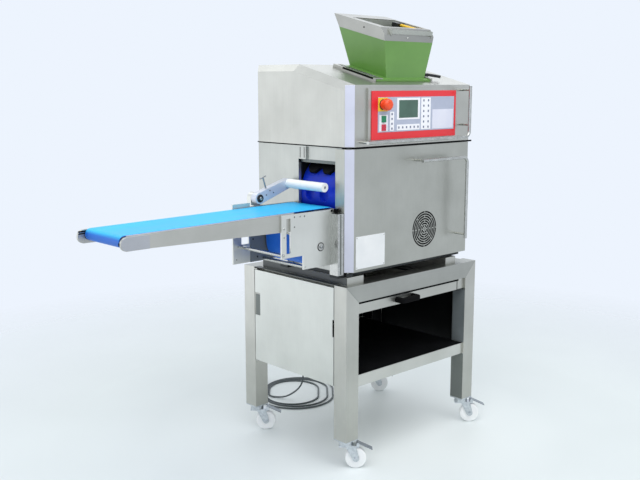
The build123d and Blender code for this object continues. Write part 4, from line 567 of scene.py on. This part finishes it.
def drilled_holes(name, places, size=1.0, body="frame"):
    """Drilled holes drawn as small black rounds, which are painted shade."""
    return fasteners(name, "hole_ring", places, body, black_and_painted_shade, size)


FRONT = (0, -1, 0)
BACK = (0, 1, 0)
LEFT = (-1, 0, 0)


def on_face(face, places, way=FRONT):
    """Places on an upright face that looks along Y, each given by X and Z."""
    return [((x, face, z), way) for x, z in places]


# Faces of the solids that the fittings sit on, in millimetres
(CASING_LEFT, DOOR_FACE, _), (CASING_RIGHT, _, _) = reach("front_door")
(_, HOOD_FRONT, HOOD_FOOT), (_, _, HOOD_TOP) = reach("hood")
(STAND_LEFT, STAND_FRONT, _), (STAND_RIGHT, STAND_BACK, STAND_TOP) = reach("stand_legs")
RAIL_FOOT = reach("stand_rails")[0][2]
(_, SHELF_FRONT, _), (LEG_INNER, SHELF_BACK, SHELF_TOP) = reach("stand_shelf")
(TRAY_LEFT, TRAY_FRONT, TRAY_FOOT), (TRAY_RIGHT, _, TRAY_TOP) = reach("drawer_tray")
(BEARER_LEFT, BEARER_FRONT, BEARER_FOOT), (_, BEARER_BACK, BEARER_TOP) = reach("bearer_bars")
FASCIA_FACE = reach("control_fascia")[0][1]
PLATE_FACE = reach("front_side_plate")[0][1]
REAR_PLATE_FACE = reach("rear_side_plate")[0][1]
BELT_RAIL_FACE = reach("conveyor_rails")[0][1]
POST_FRONT = reach("conveyor_supports")[0][1]
ROLLER_END = reach("press_roller")[0][1]
SHEET = 2.0
SIDE_PLATE = 6.0
LEG = 60.0
SKIN = 0.9

# Control panel: printed films with a display and key marks, and the emergency stop's plate and collar
FILM = 0.5
MEMBRANE = ((-207, 201), (1177, 1296))
DISPLAY = ((-101, -2), (1224, 1285))
DISPLAY_FIELD = ((-111, 9), (1218, 1292))
KEY_ROW_FIELD = ((-111, 9), (1181, 1201))
KEY_BLOCK_FIELD = ((16, 68), (1181, 1292))
KEY_COLUMN_FIELD = ((-147, -126), (1181, 1246))
BUTTON_FIELD = ((-200, -158), (1180, 1236))
LILAC_FIELD = ((78, 196), (1181, 1250))
KEY_HALF_WIDTH = 3.2
KEY_HALF_HEIGHT = 3.6
ESTOP_PLATE_X = (-207, -160)
ESTOP_PLATE_Z = (1248, 1294)
ESTOP_PLATE_THICK = 2.5
COLLAR_STEP = 1.0


def film(name, fields, layer, material):
    """Flat fields of printed film on the control panel, each between limits in X and Z."""
    face = FASCIA_FACE - layer * FILM
    spans = [(x_span, (face - FILM, face), z_span) for x_span, z_span in fields]
    return bars(name, spans, "frame", material, bevel=0.12)


key_column = [(-136.5, 1188.5 + row * 16.5) for row in range(4)]
key_row = [(-101 + column * 20.2, 1191) for column in range(6)]
key_block = [(x, 1189.5 + row * 18.6) for row in range(6) for x in (30, 55)]
key_marks = [
    ((x - KEY_HALF_WIDTH, x + KEY_HALF_WIDTH), (z - KEY_HALF_HEIGHT, z + KEY_HALF_HEIGHT))
    for x, z in key_column + key_row + key_block
]
white_fields = [DISPLAY_FIELD, KEY_ROW_FIELD, KEY_BLOCK_FIELD, KEY_COLUMN_FIELD, BUTTON_FIELD]
film("panel_membrane", [MEMBRANE], 0, membrane_film)
film("panel_white_fields", white_fields, 1, field_film)
film("panel_lilac_field", [LILAC_FIELD], 1, lilac_film)
film("panel_display", [DISPLAY], 2, display_glass)
film("panel_key_marks", key_marks, 2, mark_film)
ESTOP_X, _, ESTOP_Z = middle("estop_button")
estop_face = FASCIA_FACE - ESTOP_PLATE_THICK
estop_plate = (ESTOP_PLATE_X, (estop_face, FASCIA_FACE - 0.4), ESTOP_PLATE_Z)
bars("estop_plate", [estop_plate], "frame", collar_plastic, 0.6)
estop_ring = on_face(estop_face - 0.1, [(ESTOP_X, ESTOP_Z)])
estop_collar = on_face(estop_face - 0.1 - COLLAR_STEP, [(ESTOP_X, ESTOP_Z)])
fasteners("estop_ring", "disc", estop_ring, "frame", black_plastic, 1.75)
fasteners("estop_collar", "collar", estop_collar, "frame", estop_plastic)

# Blank plate on the front door, where a rating plate would be
BLANK_X = (-298, -153)
BLANK_Z = (713, 826)
RIVET_INSET = 5
bars(
    "blank_plate", [(BLANK_X, (DOOR_FACE - SKIN, DOOR_FACE), BLANK_Z)],
    "front_door", blank_film, 0.25,
)
rivets = [
    (x, z) for x in (BLANK_X[0] + RIVET_INSET, BLANK_X[1] - RIVET_INSET)
    for z in (BLANK_Z[0] + RIVET_INSET, BLANK_Z[1] - RIVET_INSET)
]
steel_fasteners("blank_plate_rivets", "rivet", on_face(DOOR_FACE - 0.8, rivets), body="front_door")

# Fan grille: slots in quarters, drawn as flat black arcs of painted shade, staggered from ring to ring, and
# the bridges between them
FAN_X, _, FAN_Z = middle("fan_frame")
GRILLE_RADIUS = 66.0
GRILLE_PITCH = 8.6
GRILLE_RINGS = 8
SLOT_WIDTH = 4.6
SLOT_LAP = 0.4
SLOT_PROUD = 0.2
SLOT_SUNK = 0.3
BRIDGE = 3.6
BRIDGE_LAP = 0.6
BRIDGE_SUNK = 0.8
ARC_STEPS = 14


def slot_arc(shape, outer, start, end):
    """Flat black arc of painted shade on the door's face, one slot wide, closed at both ends."""
    inner = outer - SLOT_WIDTH
    radii = (inner - SLOT_LAP, outer + SLOT_LAP, outer + SLOT_LAP, inner - SLOT_LAP)
    depths = (DOOR_FACE + SLOT_SUNK, DOOR_FACE + SLOT_SUNK, DOOR_FACE - SLOT_PROUD, DOOR_FACE - SLOT_PROUD)
    cuts = []
    for step in range(ARC_STEPS + 1):
        swing = start + (end - start) * step / ARC_STEPS
        cuts.append([
            shape.verts.new(Vector((FAN_X + r * math.cos(swing), y, FAN_Z + r * math.sin(swing))) * MM)
            for r, y in zip(radii, depths)
        ])
    for before, after in zip(cuts, cuts[1:]):
        for side in range(len(radii)):
            shape.faces.new((before[side], before[side - 1], after[side - 1], after[side]))
    shape.faces.new(cuts[0])
    shape.faces.new(cuts[-1][::-1])


def grille_slots():
    """Slots of the fan grille as black painted shade: four arcs in each ring, every other ring turned by
    half a quarter.
    """
    shape = bmesh.new()
    quarter = math.pi / 2
    for ring in range(GRILLE_RINGS):
        outer = GRILLE_RADIUS - ring * GRILLE_PITCH
        gap = BRIDGE / 2 / (outer - SLOT_WIDTH / 2)
        for turn in range(4):
            start = quarter * (turn + ring % 2 / 2)
            slot_arc(shape, outer, start + gap, start + quarter - gap)
    bmesh.ops.recalc_face_normals(shape, faces=shape.faces[:])
    mesh = bpy.data.meshes.new("grille_slots")
    shape.to_mesh(mesh)
    shape.free()
    return mesh


add_piece("grille_slots", grille_slots(), "front_door", black_and_painted_shade)
bridges = []
bridge_y = (DOOR_FACE - SLOT_PROUD, DOOR_FACE + BRIDGE_SUNK)
along, aside = SLOT_WIDTH / 2 + BRIDGE_LAP, BRIDGE / 2
for ring in range(0, GRILLE_RINGS, 2):
    ring_middle = GRILLE_RADIUS - ring * GRILLE_PITCH - SLOT_WIDTH / 2
    for x in (FAN_X - ring_middle, FAN_X + ring_middle):
        bridges.append(((x - along, x + along), bridge_y, (FAN_Z - aside, FAN_Z + aside)))
    for z in (FAN_Z - ring_middle, FAN_Z + ring_middle):
        bridges.append(((FAN_X - aside, FAN_X + aside), bridge_y, (z - along, z + along)))
steel_skins("grille_bridges", bridges, door_satin, 0.1, "front_door")

# Hopper: rim screw and holes, the probe's sleeve, the ribbed strip and dark slot beside the left guide; the
# black of the slot and holes is painted shade
SLOPE_FOOT = 1337.0
SLOPE_RUN = 276.0
SLOPE = math.atan2(HOOD_TOP - SLOPE_FOOT, SLOPE_RUN)
UP_SLOPE = Vector((0, math.cos(SLOPE), math.sin(SLOPE)))
OFF_SLOPE = Vector((0, -math.sin(SLOPE), math.cos(SLOPE)))
HOOD_EDGE = Vector((0, HOOD_FRONT, SLOPE_FOOT))
slope_frame = Matrix.Translation(HOOD_EDGE) @ Matrix.Rotation(SLOPE, 4, "X")


def on_slope(across, along, height):
    """Place over the hood's slope: across, up the slope and away from it."""
    return HOOD_EDGE + Vector((across, 0, 0)) + UP_SLOPE * along + OFF_SLOPE * height


rim_front = (on_slope(6.4, 86, 145), -UP_SLOPE)
rim_left = (on_slope(-118.2, 189, 158.4), LEFT)
rim_top = (on_slope(-98, 266, 175.5), OFF_SLOPE)
sleeve_foot = (on_slope(111.5, 224, 166.5), -UP_SLOPE)
steel_fasteners("rim_screws", "button_screw", [rim_front], body="hopper")
drilled_holes("rim_holes", [rim_left, rim_top], 1.1, "hopper")
fasteners("probe_sleeve", "sleeve", [sleeve_foot], "hopper", probe_yellow)
RIBS = 22
RIB_PITCH = 7.8
RIB_WIDTH = 4
RIB_START = 70
RIB_X = (-157, -141)
RIB_HEIGHT = (12.4, 13.6)
RIB_BED = ((-159, -139), (67, 243), (12, 12.5))
GUIDE_SLOT = ((-172.4, -170), (50, 204), (6, 12.3))
rib_starts = [RIB_START + row * RIB_PITCH for row in range(RIBS)]
ribs = [(RIB_X, (start, start + RIB_WIDTH), RIB_HEIGHT) for start in rib_starts]
bars("guide_ribs", ribs, "frame", bright_bar, 0.3, slope_frame)
bars("guide_rib_bed", [RIB_BED], "frame", roller_steel, 0.1, slope_frame)
dark_gaps("guide_slot", [GUIDE_SLOT], 0.2, place=slope_frame)

# Fold round the hopper's mouth, broken where the probe's holder passes under the rim
MOUTH_LEFT, MOUTH_RIGHT = -84, 132
MOUTH_FRONT, MOUTH_BACK = 85, 279
HOLDER = (225, 257)
FOLD = 1.2
FOLD_GAP = 0.2
FOLD_DEPTH = (148, 172.6)
FRONT_FOLD_DEPTH = (158, 172.6)
right_fold = (MOUTH_RIGHT - FOLD, MOUTH_RIGHT)
mouth_folds = [
    ((MOUTH_LEFT, MOUTH_RIGHT), (MOUTH_BACK, MOUTH_BACK + FOLD), FOLD_DEPTH),
    ((MOUTH_LEFT, MOUTH_RIGHT), (MOUTH_FRONT - FOLD, MOUTH_FRONT), FRONT_FOLD_DEPTH),
    ((MOUTH_LEFT, MOUTH_LEFT + FOLD), (MOUTH_FRONT + FOLD_GAP, MOUTH_BACK - FOLD_GAP), FOLD_DEPTH),
    (right_fold, (MOUTH_FRONT + FOLD_GAP, HOLDER[0]), FOLD_DEPTH),
    (right_fold, (HOLDER[1], MOUTH_BACK - FOLD_GAP), FOLD_DEPTH),
]
steel_skins("mouth_fold", mouth_folds, stainless_blasted, 0.2, "hopper", slope_frame)

# Casing: a black strip of painted shade in the joint under the hood, a painted highlight on the corners,
# and strips round the left opening, a grey one of painted shade and a light one of painted light
SEAL = (1124.6, 1130.6)
REAR_SEAL = (1127.3, 1130.6)
SEAL_INSET = 1.0
SEAL_THICK = 1.5
SEAL_END = 211
DOOR_EDGE = -194
CORNER = 25.0
CORNER_INSET = 13.0
CORNER_HALF = 16.4
CORNER_SKIN = (-1.9, -1.3)
CORNER_JOINT_SHADE = ((-17, 17), (-0.7, 0.7), SEAL)
DOOR_CORNER_FOOT, DOOR_CORNER_TOP = 704, 1123
OPENING_FRONT, OPENING_REAR = -190, -8
LINTEL_Z = (1069.3, 1080)
JAMB_Z = (915, 1068)
side_joint_shade = (CASING_LEFT + SEAL_INSET, CASING_LEFT + SEAL_INSET + SEAL_THICK)
front_joint_shade = (DOOR_FACE + SEAL_INSET, DOOR_FACE + SEAL_INSET + SEAL_THICK)
joint_shades = [
    ((CASING_LEFT + CORNER, CASING_RIGHT - SHEET), front_joint_shade, SEAL),
    (side_joint_shade, (DOOR_FACE + CORNER, DOOR_EDGE), SEAL),
    (side_joint_shade, (DOOR_EDGE, SEAL_END), REAR_SEAL),
]
dark_gaps("hood_seal", joint_shades, 0.2)
corner_middle = Matrix.Translation((CASING_LEFT + CORNER_INSET, DOOR_FACE + CORNER_INSET, 0))
corner_joint = corner_middle @ Matrix.Rotation(math.radians(-45), 4, "Z")
corner_x = (-CORNER_HALF, CORNER_HALF)
hood_corner = (corner_x, CORNER_SKIN, (HOOD_FOOT + 1, SLOPE_FOOT - 1))
door_corner = (corner_x, CORNER_SKIN, (DOOR_CORNER_FOOT, DOOR_CORNER_TOP))
lintel = ((CASING_LEFT + 11.5, CASING_LEFT + 12.1), (OPENING_FRONT, OPENING_REAR), LINTEL_Z)
jamb = ((CASING_LEFT + 1, CASING_LEFT + 12.4), (OPENING_REAR - 0.8, OPENING_REAR - 0.2), JAMB_Z)
dark_gaps("hood_corner_seal", [CORNER_JOINT_SHADE], 0.2, place=corner_joint)
steel_skins("hood_corner", [hood_corner], corner_highlight, 0.1, place=corner_joint)
steel_skins("door_corner", [door_corner], corner_highlight, 0.1, "front_door", corner_joint)
steel_skins("lintel_strip", [lintel], shade_grey_steel, 0.1)
steel_skins("jamb_return", [jamb], panel_painted_light, 0.1)

# Stand: black sheets of painted shade inside, black painted shade in the gap round the drawer, grey sheets
# of painted shade on the legs and rails, ground mitre seams
LINING = 1.2
PANEL_FOOT = 298
PANEL_Y = (-215, 215)
CORNER_LINING_END = 273
LEG_SHADE_TOP = 551
LOW_SHADE_Z = (106, 293)
RAIL_SHADE_Y = (-216, 216)
LEG_BACK = STAND_BACK - LEG
PANEL_RIGHT = STAND_RIGHT - SHEET
PANEL_BACK = STAND_BACK - SHEET
shade_x = (SHEET - LEG_INNER, LEG_INNER - SHEET)
# Black sheets inside the stand, which is otherwise in shade: painted shade
shade_top = RAIL_FOOT - 3
shade_sheets = [
    (shade_x, (SHELF_FRONT + SHEET, SHELF_BACK - SHEET), (SHELF_TOP, SHELF_TOP + LINING)),
    ((PANEL_RIGHT - LINING, PANEL_RIGHT), PANEL_Y, (PANEL_FOOT, shade_top)),
    ((LEG_INNER - 0.7, LEG_INNER + 0.1), (LEG_BACK + 1, CORNER_LINING_END), (SHELF_TOP + 2, shade_top)),
    ((LEG_INNER + 0.3, PANEL_RIGHT - 1.4), (LEG_BACK - 1.1, LEG_BACK - 0.2), (PANEL_FOOT, shade_top)),
    (shade_x, (PANEL_BACK - LINING, PANEL_BACK), (SHELF_TOP + 4, shade_top)),
]
bars("cabinet_lining", shade_sheets, "frame", shoe_plastic, 0.3)
drawer_gaps = [
    ((TRAY_LEFT + 1, TRAY_RIGHT - 1), (STAND_FRONT + 0.2, TRAY_FRONT - 0.5), (TRAY_TOP + 0.3, RAIL_FOOT)),
    ((TRAY_RIGHT + 0.4, TRAY_RIGHT + 1.7), (TRAY_FRONT - 0.2, TRAY_FRONT + 6), (TRAY_FOOT + 0.5, TRAY_TOP)),
]
dark_gaps("drawer_gap", drawer_gaps, 0.1)
beam = (
    (TRAY_RIGHT + 3.5, LEG_INNER - 0.4),
    (TRAY_FRONT - SKIN, TRAY_FRONT - 0.1),
    (TRAY_FOOT + 1.5, RAIL_FOOT - 0.4),
)
steel_skins("beam_face", [beam], stainless_across, 0.2)
leg_side = ((LEG_INNER - 0.8, LEG_INNER + 0.1), (STAND_FRONT + 1.5, STAND_FRONT + LEG - 1.5))
steel_skins("leg_cover", [(*leg_side, (SHELF_TOP + 2, LEG_SHADE_TOP))], leg_shade, 0.2)
steel_skins("leg_cover_low", [(*leg_side, LOW_SHADE_Z)], shade_grey_steel, 0.2)
bearer = (
    (BEARER_LEFT - SKIN, BEARER_LEFT - 0.1),
    (BEARER_FRONT + 1, BEARER_BACK - 1),
    (BEARER_FOOT + 1, BEARER_TOP - 0.5),
)
steel_skins("bearer_side", [bearer], bearer_shade, 0.2)
rail_shade = ((STAND_LEFT + 0.4, BEARER_LEFT - 1.2), RAIL_SHADE_Y, (STAND_TOP - 0.1, STAND_TOP + 0.4))
steel_skins("rail_top_shade", [rail_shade], bearer_shade, 0.1)
# Keeper: a grey sheet and black rounds, painted shade where the leg's face and its holes show through a
# cut-out
KEEPER_FACE = STAND_LEFT + 1.4
KEEPER = ((KEEPER_FACE, KEEPER_FACE + 0.7), (179, 212), (475, 557))
KEEPER_HOLE_Y = 184
KEEPER_HOLES_Z = (480, 499, 529)
steel_skins("keeper_plate", [KEEPER], shade_grey_steel, 0.2)
drilled_holes("keeper_holes", [((KEEPER_FACE, KEEPER_HOLE_Y, z), LEFT) for z in KEEPER_HOLES_Z])
SEAM_HALF = 42.0
SEAM_X = (-SEAM_HALF, SEAM_HALF)
SEAM_Z = (-0.7, 0.7)
RAIL_MIDDLE = STAND_TOP - LEG / 2
LEG_MIDDLE = STAND_RIGHT - LEG / 2
seams = [(SEAM_X, (y - 0.2, y + 0.1), SEAM_Z) for y in (STAND_FRONT, STAND_BACK + 0.1)]
for side, name in ((-1, "left"), (1, "right")):
    turn = Matrix.Rotation(math.radians(-45 * side), 4, "Y")
    mitre = Matrix.Translation((side * LEG_MIDDLE, 0, RAIL_MIDDLE)) @ turn
    steel_skins(f"mitre_seams_{name}", seams, seam_steel, 0, place=mitre)

# Discharge side: drive hub, press arm, side plates, tie rods, and a grey sheet of painted shade behind the
# drive roller
DRIVE_X, _, DRIVE_Z = middle("drive_roller")
ROLLER_X, _, ROLLER_Z = middle("press_roller")
ARM_HUB = (-490, 950)
ARM_FACE = 12.0
ARM_HOLES = ((-462, 960), (-430, 966), (-446, 974))
PLATE_SCREWS = ((-497, 911), (-474, 739), (-355, 749), (-566, 876), (-566, 848))
PLATE_HOLES = ((-521, 911), (-477, 910), (-521, 878))
REAR_PLATE_HOLES = ((-589, 792), (-596, 748))
DRIVE_SHADE = ((-537, -436), (732, 826))
DRIVE_SHADE_HOLES = ((-524, 812), (-505, 748))
UPPER_ROD, LOWER_ROD = (-572, 789), (-477, 739)
drive_hub = [(DRIVE_X, DRIVE_Z)]
# Black disc under the hub washer, showing round it as a ring of painted shade
fasteners("drive_hub_rings", "disc", on_face(PLATE_FACE, drive_hub), "frame", black_and_painted_shade, 1.5)
steel_fasteners("drive_hub_washer", "disc", on_face(PLATE_FACE - 1, drive_hub), 1.25)
steel_fasteners("drive_hub_screw", "cap_screw", on_face(PLATE_FACE - 2, drive_hub), 1.3, roller_steel)
fasteners(
    "arm_pivot_ring", "disc", on_face(ARM_FACE, [ARM_HUB]), "press_arm", black_plastic, 1.4)
steel_fasteners("arm_pivot_screw", "cap_screw", on_face(ARM_FACE - 1, [ARM_HUB]), 1.4, body="press_arm")
drilled_holes("arm_holes", on_face(ARM_FACE, ARM_HOLES), 0.8, "press_arm")
roller_end = on_face(ROLLER_END, [(ROLLER_X, ROLLER_Z)])
steel_fasteners("press_roller_screw", "button_screw", roller_end, 0.9, roller_steel, "press_arm")
steel_fasteners("front_plate_screws", "button_screw", on_face(PLATE_FACE, PLATE_SCREWS), 0.9)
drilled_holes("front_plate_holes", on_face(PLATE_FACE, PLATE_HOLES), 0.8)
rod_ends = on_face(PLATE_FACE, [UPPER_ROD])
rod_ends += on_face(REAR_PLATE_FACE + SIDE_PLATE, [UPPER_ROD, LOWER_ROD], BACK)
steel_fasteners("tie_rod_nuts", "hex_nut", rod_ends, 0.85)
drilled_holes("rear_plate_holes", on_face(REAR_PLATE_FACE, REAR_PLATE_HOLES), 0.7)
shade_face = REAR_PLATE_FACE - SKIN
steel_skins("drive_guard", [(DRIVE_SHADE[0], (shade_face, REAR_PLATE_FACE), DRIVE_SHADE[1])], leg_shade, 0.3)
drilled_holes("drive_guard_screws", on_face(shade_face, DRIVE_SHADE_HOLES))

# Discharge belt: front nose block, black painted shade at the axle end and in the tension slots, and a
# bright lip along the belt that is a painted highlight
NOSE_X, NOSE_Z = -1143.8, 896.4
NOSE_RADIUS = 20.0
BLOCK_END = -1069.6
DISC_RADIUS = 10.0
BELT_EDGE = -186.3
BELT_SLOPE = -0.0075
AXLE_END = ((-1166, -1157), (-189, BELT_EDGE), (892, 901))
TENSION_SLOTS_Z = ((903.6, 907.4), (909.8, 914.2))
LIP_START = (-1069, 0, 916.9)
LIP = ((-72, 557), (-188.8, BELT_EDGE), (-3, 3.5))
nose_face = (
    (NOSE_X, BLOCK_END),
    (BELT_RAIL_FACE - 0.5, BELT_RAIL_FACE + 0.1),
    (NOSE_Z - NOSE_RADIUS, NOSE_Z + NOSE_RADIUS),
)
nose_end = on_face(BELT_RAIL_FACE + 1.5, [(NOSE_X, NOSE_Z)])
steel_skins("nose_block_face", [nose_face], block_satin, 0.1)
fasteners("nose_block_end", "disc", nose_end, "frame", block_satin, NOSE_RADIUS / DISC_RADIUS)
dark_gaps("nose_axle_end", [AXLE_END], 0.4)
tension_slots = [((-1185, -1158), (6.2, 7.0), z_span) for z_span in TENSION_SLOTS_Z]
dark_gaps("tension_slots", tension_slots, 0.3)
rail_slope = Matrix.Translation(LIP_START) @ Matrix.Rotation(BELT_SLOPE, 4, "Y")
steel_skins("belt_lip", [LIP], corner_highlight, 0.2, place=rail_slope)

# Beside the left opening: a groove in the hanger post drawn as a grey strip of painted shade, black painted
# shade in the gap at the door's edge, the door's catch, and slits in the jamb drawn as black painted shade
POST_GROOVE = ((-350, -344), (POST_FRONT - 0.4, POST_FRONT), (699, 906))
DOOR_EDGE_SHADE = ((CASING_LEFT - 0.6, CASING_LEFT), (-239, -226), (DOOR_CORNER_FOOT, 908))
CATCH_KNOB = (-352.7, 916)
CATCH_CLIP = ((-344, -335), (-216, -203), (909, 922))
SLIT_HALF = 1.4
SLIT_Z = (1085, 1122)
SLITS = (-17, -38)
steel_skins("post_groove", [POST_GROOVE], shade_grey_steel, 0.1)
dark_gaps("door_seal", [DOOR_EDGE_SHADE], 0.2, "front_door")
catch_knob = on_face(PLATE_FACE, [CATCH_KNOB])
fasteners("catch_knob", "disc", catch_knob, "frame", black_and_painted_shade, 0.45)
dark_gaps("catch_clip", [CATCH_CLIP], 0.8)
slit_x = (CASING_LEFT - 0.3, CASING_LEFT + 0.1)
dark_gaps("jamb_slits", [(slit_x, (y - SLIT_HALF, y + SLIT_HALF), SLIT_Z) for y in SLITS], 0.1)

# Castors: axle nuts, wheel caps, and grey rings round the wheels' edges, which are painted shade
CASTOR_TURN = math.radians(-43)
AXLE_WAY = Vector((-math.sin(CASTOR_TURN), math.cos(CASTOR_TURN), 0))
FORK_HALF = 17
for corner in CORNERS:
    fork, wheel = f"caster_fork_{corner}", f"caster_wheel_{corner}"
    axle = Vector(middle(wheel))
    nuts = [(axle + way * FORK_HALF, way) for way in (-AXLE_WAY, AXLE_WAY)]
    caps = [(axle, way) for way in (AXLE_WAY, -AXLE_WAY)]
    fasteners(f"axle_nuts_{corner}", "hex_nut", nuts, fork, zinc, 0.95)
    fasteners(f"wheel_caps_{corner}", "wheel_cap", caps, wheel, wheel_plastic)
    fasteners(f"wheel_treads_{corner}", "tread", [(axle, AXLE_WAY)], wheel, wheel_edge_shade)

# Floor: pale resin, painted lighter close round the stand to lift its shadow and painted darker further out
# where the lamps fall, that fades out into the backdrop
FLOOR_HALF = 30.0
SHADOW_LIFT_RANGE = (0.3, 0.8)
FLOOR_END = (1.2, 2.8)
floor_mesh = bpy.data.meshes.new("floor")
floor_corners = [(x * FLOOR_HALF, y * FLOOR_HALF, 0) for x, y in ((-1, -1), (1, -1), (1, 1), (-1, 1))]
floor_mesh.from_pydata(floor_corners, [], [(0, 1, 2, 3)])
floor = bpy.data.objects.new("floor", floor_mesh)
scene.collection.objects.link(floor)
floor_paint, floor_tree, floor_shader = new_material(
    "resin_floor_pale", Roughness=0.45, Specular_IOR_Level=0.25)
floor_clouds = pattern(floor_tree, size_mm=900.0, detail=2.0)
floor_place = add_node(floor_tree, "ShaderNodeTexCoord").outputs["Object"]
from_middle = add_node(
    floor_tree, "ShaderNodeVectorMath", links={"Vector": floor_place}, operation="LENGTH").outputs["Value"]
floor_colour_and_painted_light = add_node(floor_tree, "ShaderNodeMixRGB", links={
    "Fac": between(floor_tree, from_middle, 0.0, 1.0, *SHADOW_LIFT_RANGE),
    "Color1": tinted(floor_tree, floor_clouds, "#e6ecec", "#eaf0f0"),
    "Color2": tinted(floor_tree, floor_clouds, "#d7dedf", "#dde4e5"),
})
floor_tree.links.new(floor_colour_and_painted_light.outputs["Color"], floor_shader.inputs["Base Color"])
floor_fade = between(floor_tree, from_middle, 0.0, 1.0, *FLOOR_END)
floor_end = add_node(floor_tree, "ShaderNodeBsdfTransparent")
floor_blend = add_node(floor_tree, "ShaderNodeMixShader", links={"Fac": floor_fade})
floor_tree.links.new(floor_shader.outputs["BSDF"], floor_blend.inputs[1])
floor_tree.links.new(floor_end.outputs["BSDF"], floor_blend.inputs[2])
floor_out = next(node for node in floor_tree.nodes if node.bl_idname == "ShaderNodeOutputMaterial")
floor_tree.links.new(floor_blend.outputs["Shader"], floor_out.inputs["Surface"])
floor_mesh.materials.append(floor_paint)


def area_light(name, place, target, size, power, colour="#ffffff"):
    """Soft square light aimed at a point, in metres and watts."""
    lamp = bpy.data.lights.new(name, "AREA")
    lamp.color = linear(colour)[:3]
    lamp.size = size
    lamp.energy = power
    holder = bpy.data.objects.new(name, lamp)
    holder.location = place
    holder.rotation_euler = (Vector(target) - Vector(place)).to_track_quat("-Z", "Y").to_euler()
    scene.collection.objects.link(holder)


# Light: a wide ceiling light, with weaker ones from the left, the window side and behind
area_light("left_wall_glow", (-3.2, 2.9, 0.95), (-0.3, 0, 0.8), size=3.4, power=21)
area_light("window_glow", (-4.6, -4.8, 1.7), (-0.2, 0, 1.0), size=3.2, power=15, colour="#e6ebff")
area_light("rear_left_ceiling_light", (-0.5, 3.1, 4.0), (-0.2, 0, 1.3), size=2.4, power=18)
area_light("ceiling_light", (-0.9, -1.7, 3.9), (0, -0.2, 0.5), size=4.0, power=120)
area_light("rear_ceiling_light", (2.2, 1.8, 3.2), (0, 0, 1.2), size=2.6, power=12)

# Backdrop: pale to the camera and in reflections, a plain room light to everything else
world = bpy.data.worlds.new("room")
world.use_nodes = True
room = world.node_tree
room.nodes.clear()
room_light = add_node(room, "ShaderNodeBackground", {"Color": linear("#f2f6fa"), "Strength": 0.72})
backdrop = add_node(room, "ShaderNodeBackground", {"Color": linear("#edf4fe"), "Strength": 1.0})
ray = add_node(room, "ShaderNodeLightPath")
mirrored = add_node(room, "ShaderNodeMath", operation="MAXIMUM")
direct = add_node(room, "ShaderNodeMath", operation="MAXIMUM")
room.links.new(ray.outputs["Is Glossy Ray"], mirrored.inputs[0])
room.links.new(ray.outputs["Is Transmission Ray"], mirrored.inputs[1])
room.links.new(ray.outputs["Is Camera Ray"], direct.inputs[0])
room.links.new(mirrored.outputs["Value"], direct.inputs[1])
seen = add_node(room, "ShaderNodeMixShader", links={"Fac": direct.outputs["Value"]})
room.links.new(room_light.outputs["Background"], seen.inputs[1])
room.links.new(backdrop.outputs["Background"], seen.inputs[2])
add_node(room, "ShaderNodeOutputWorld", links={"Surface": seen.outputs["Shader"]})
scene.world = world
scene.view_settings.view_transform = "Standard"
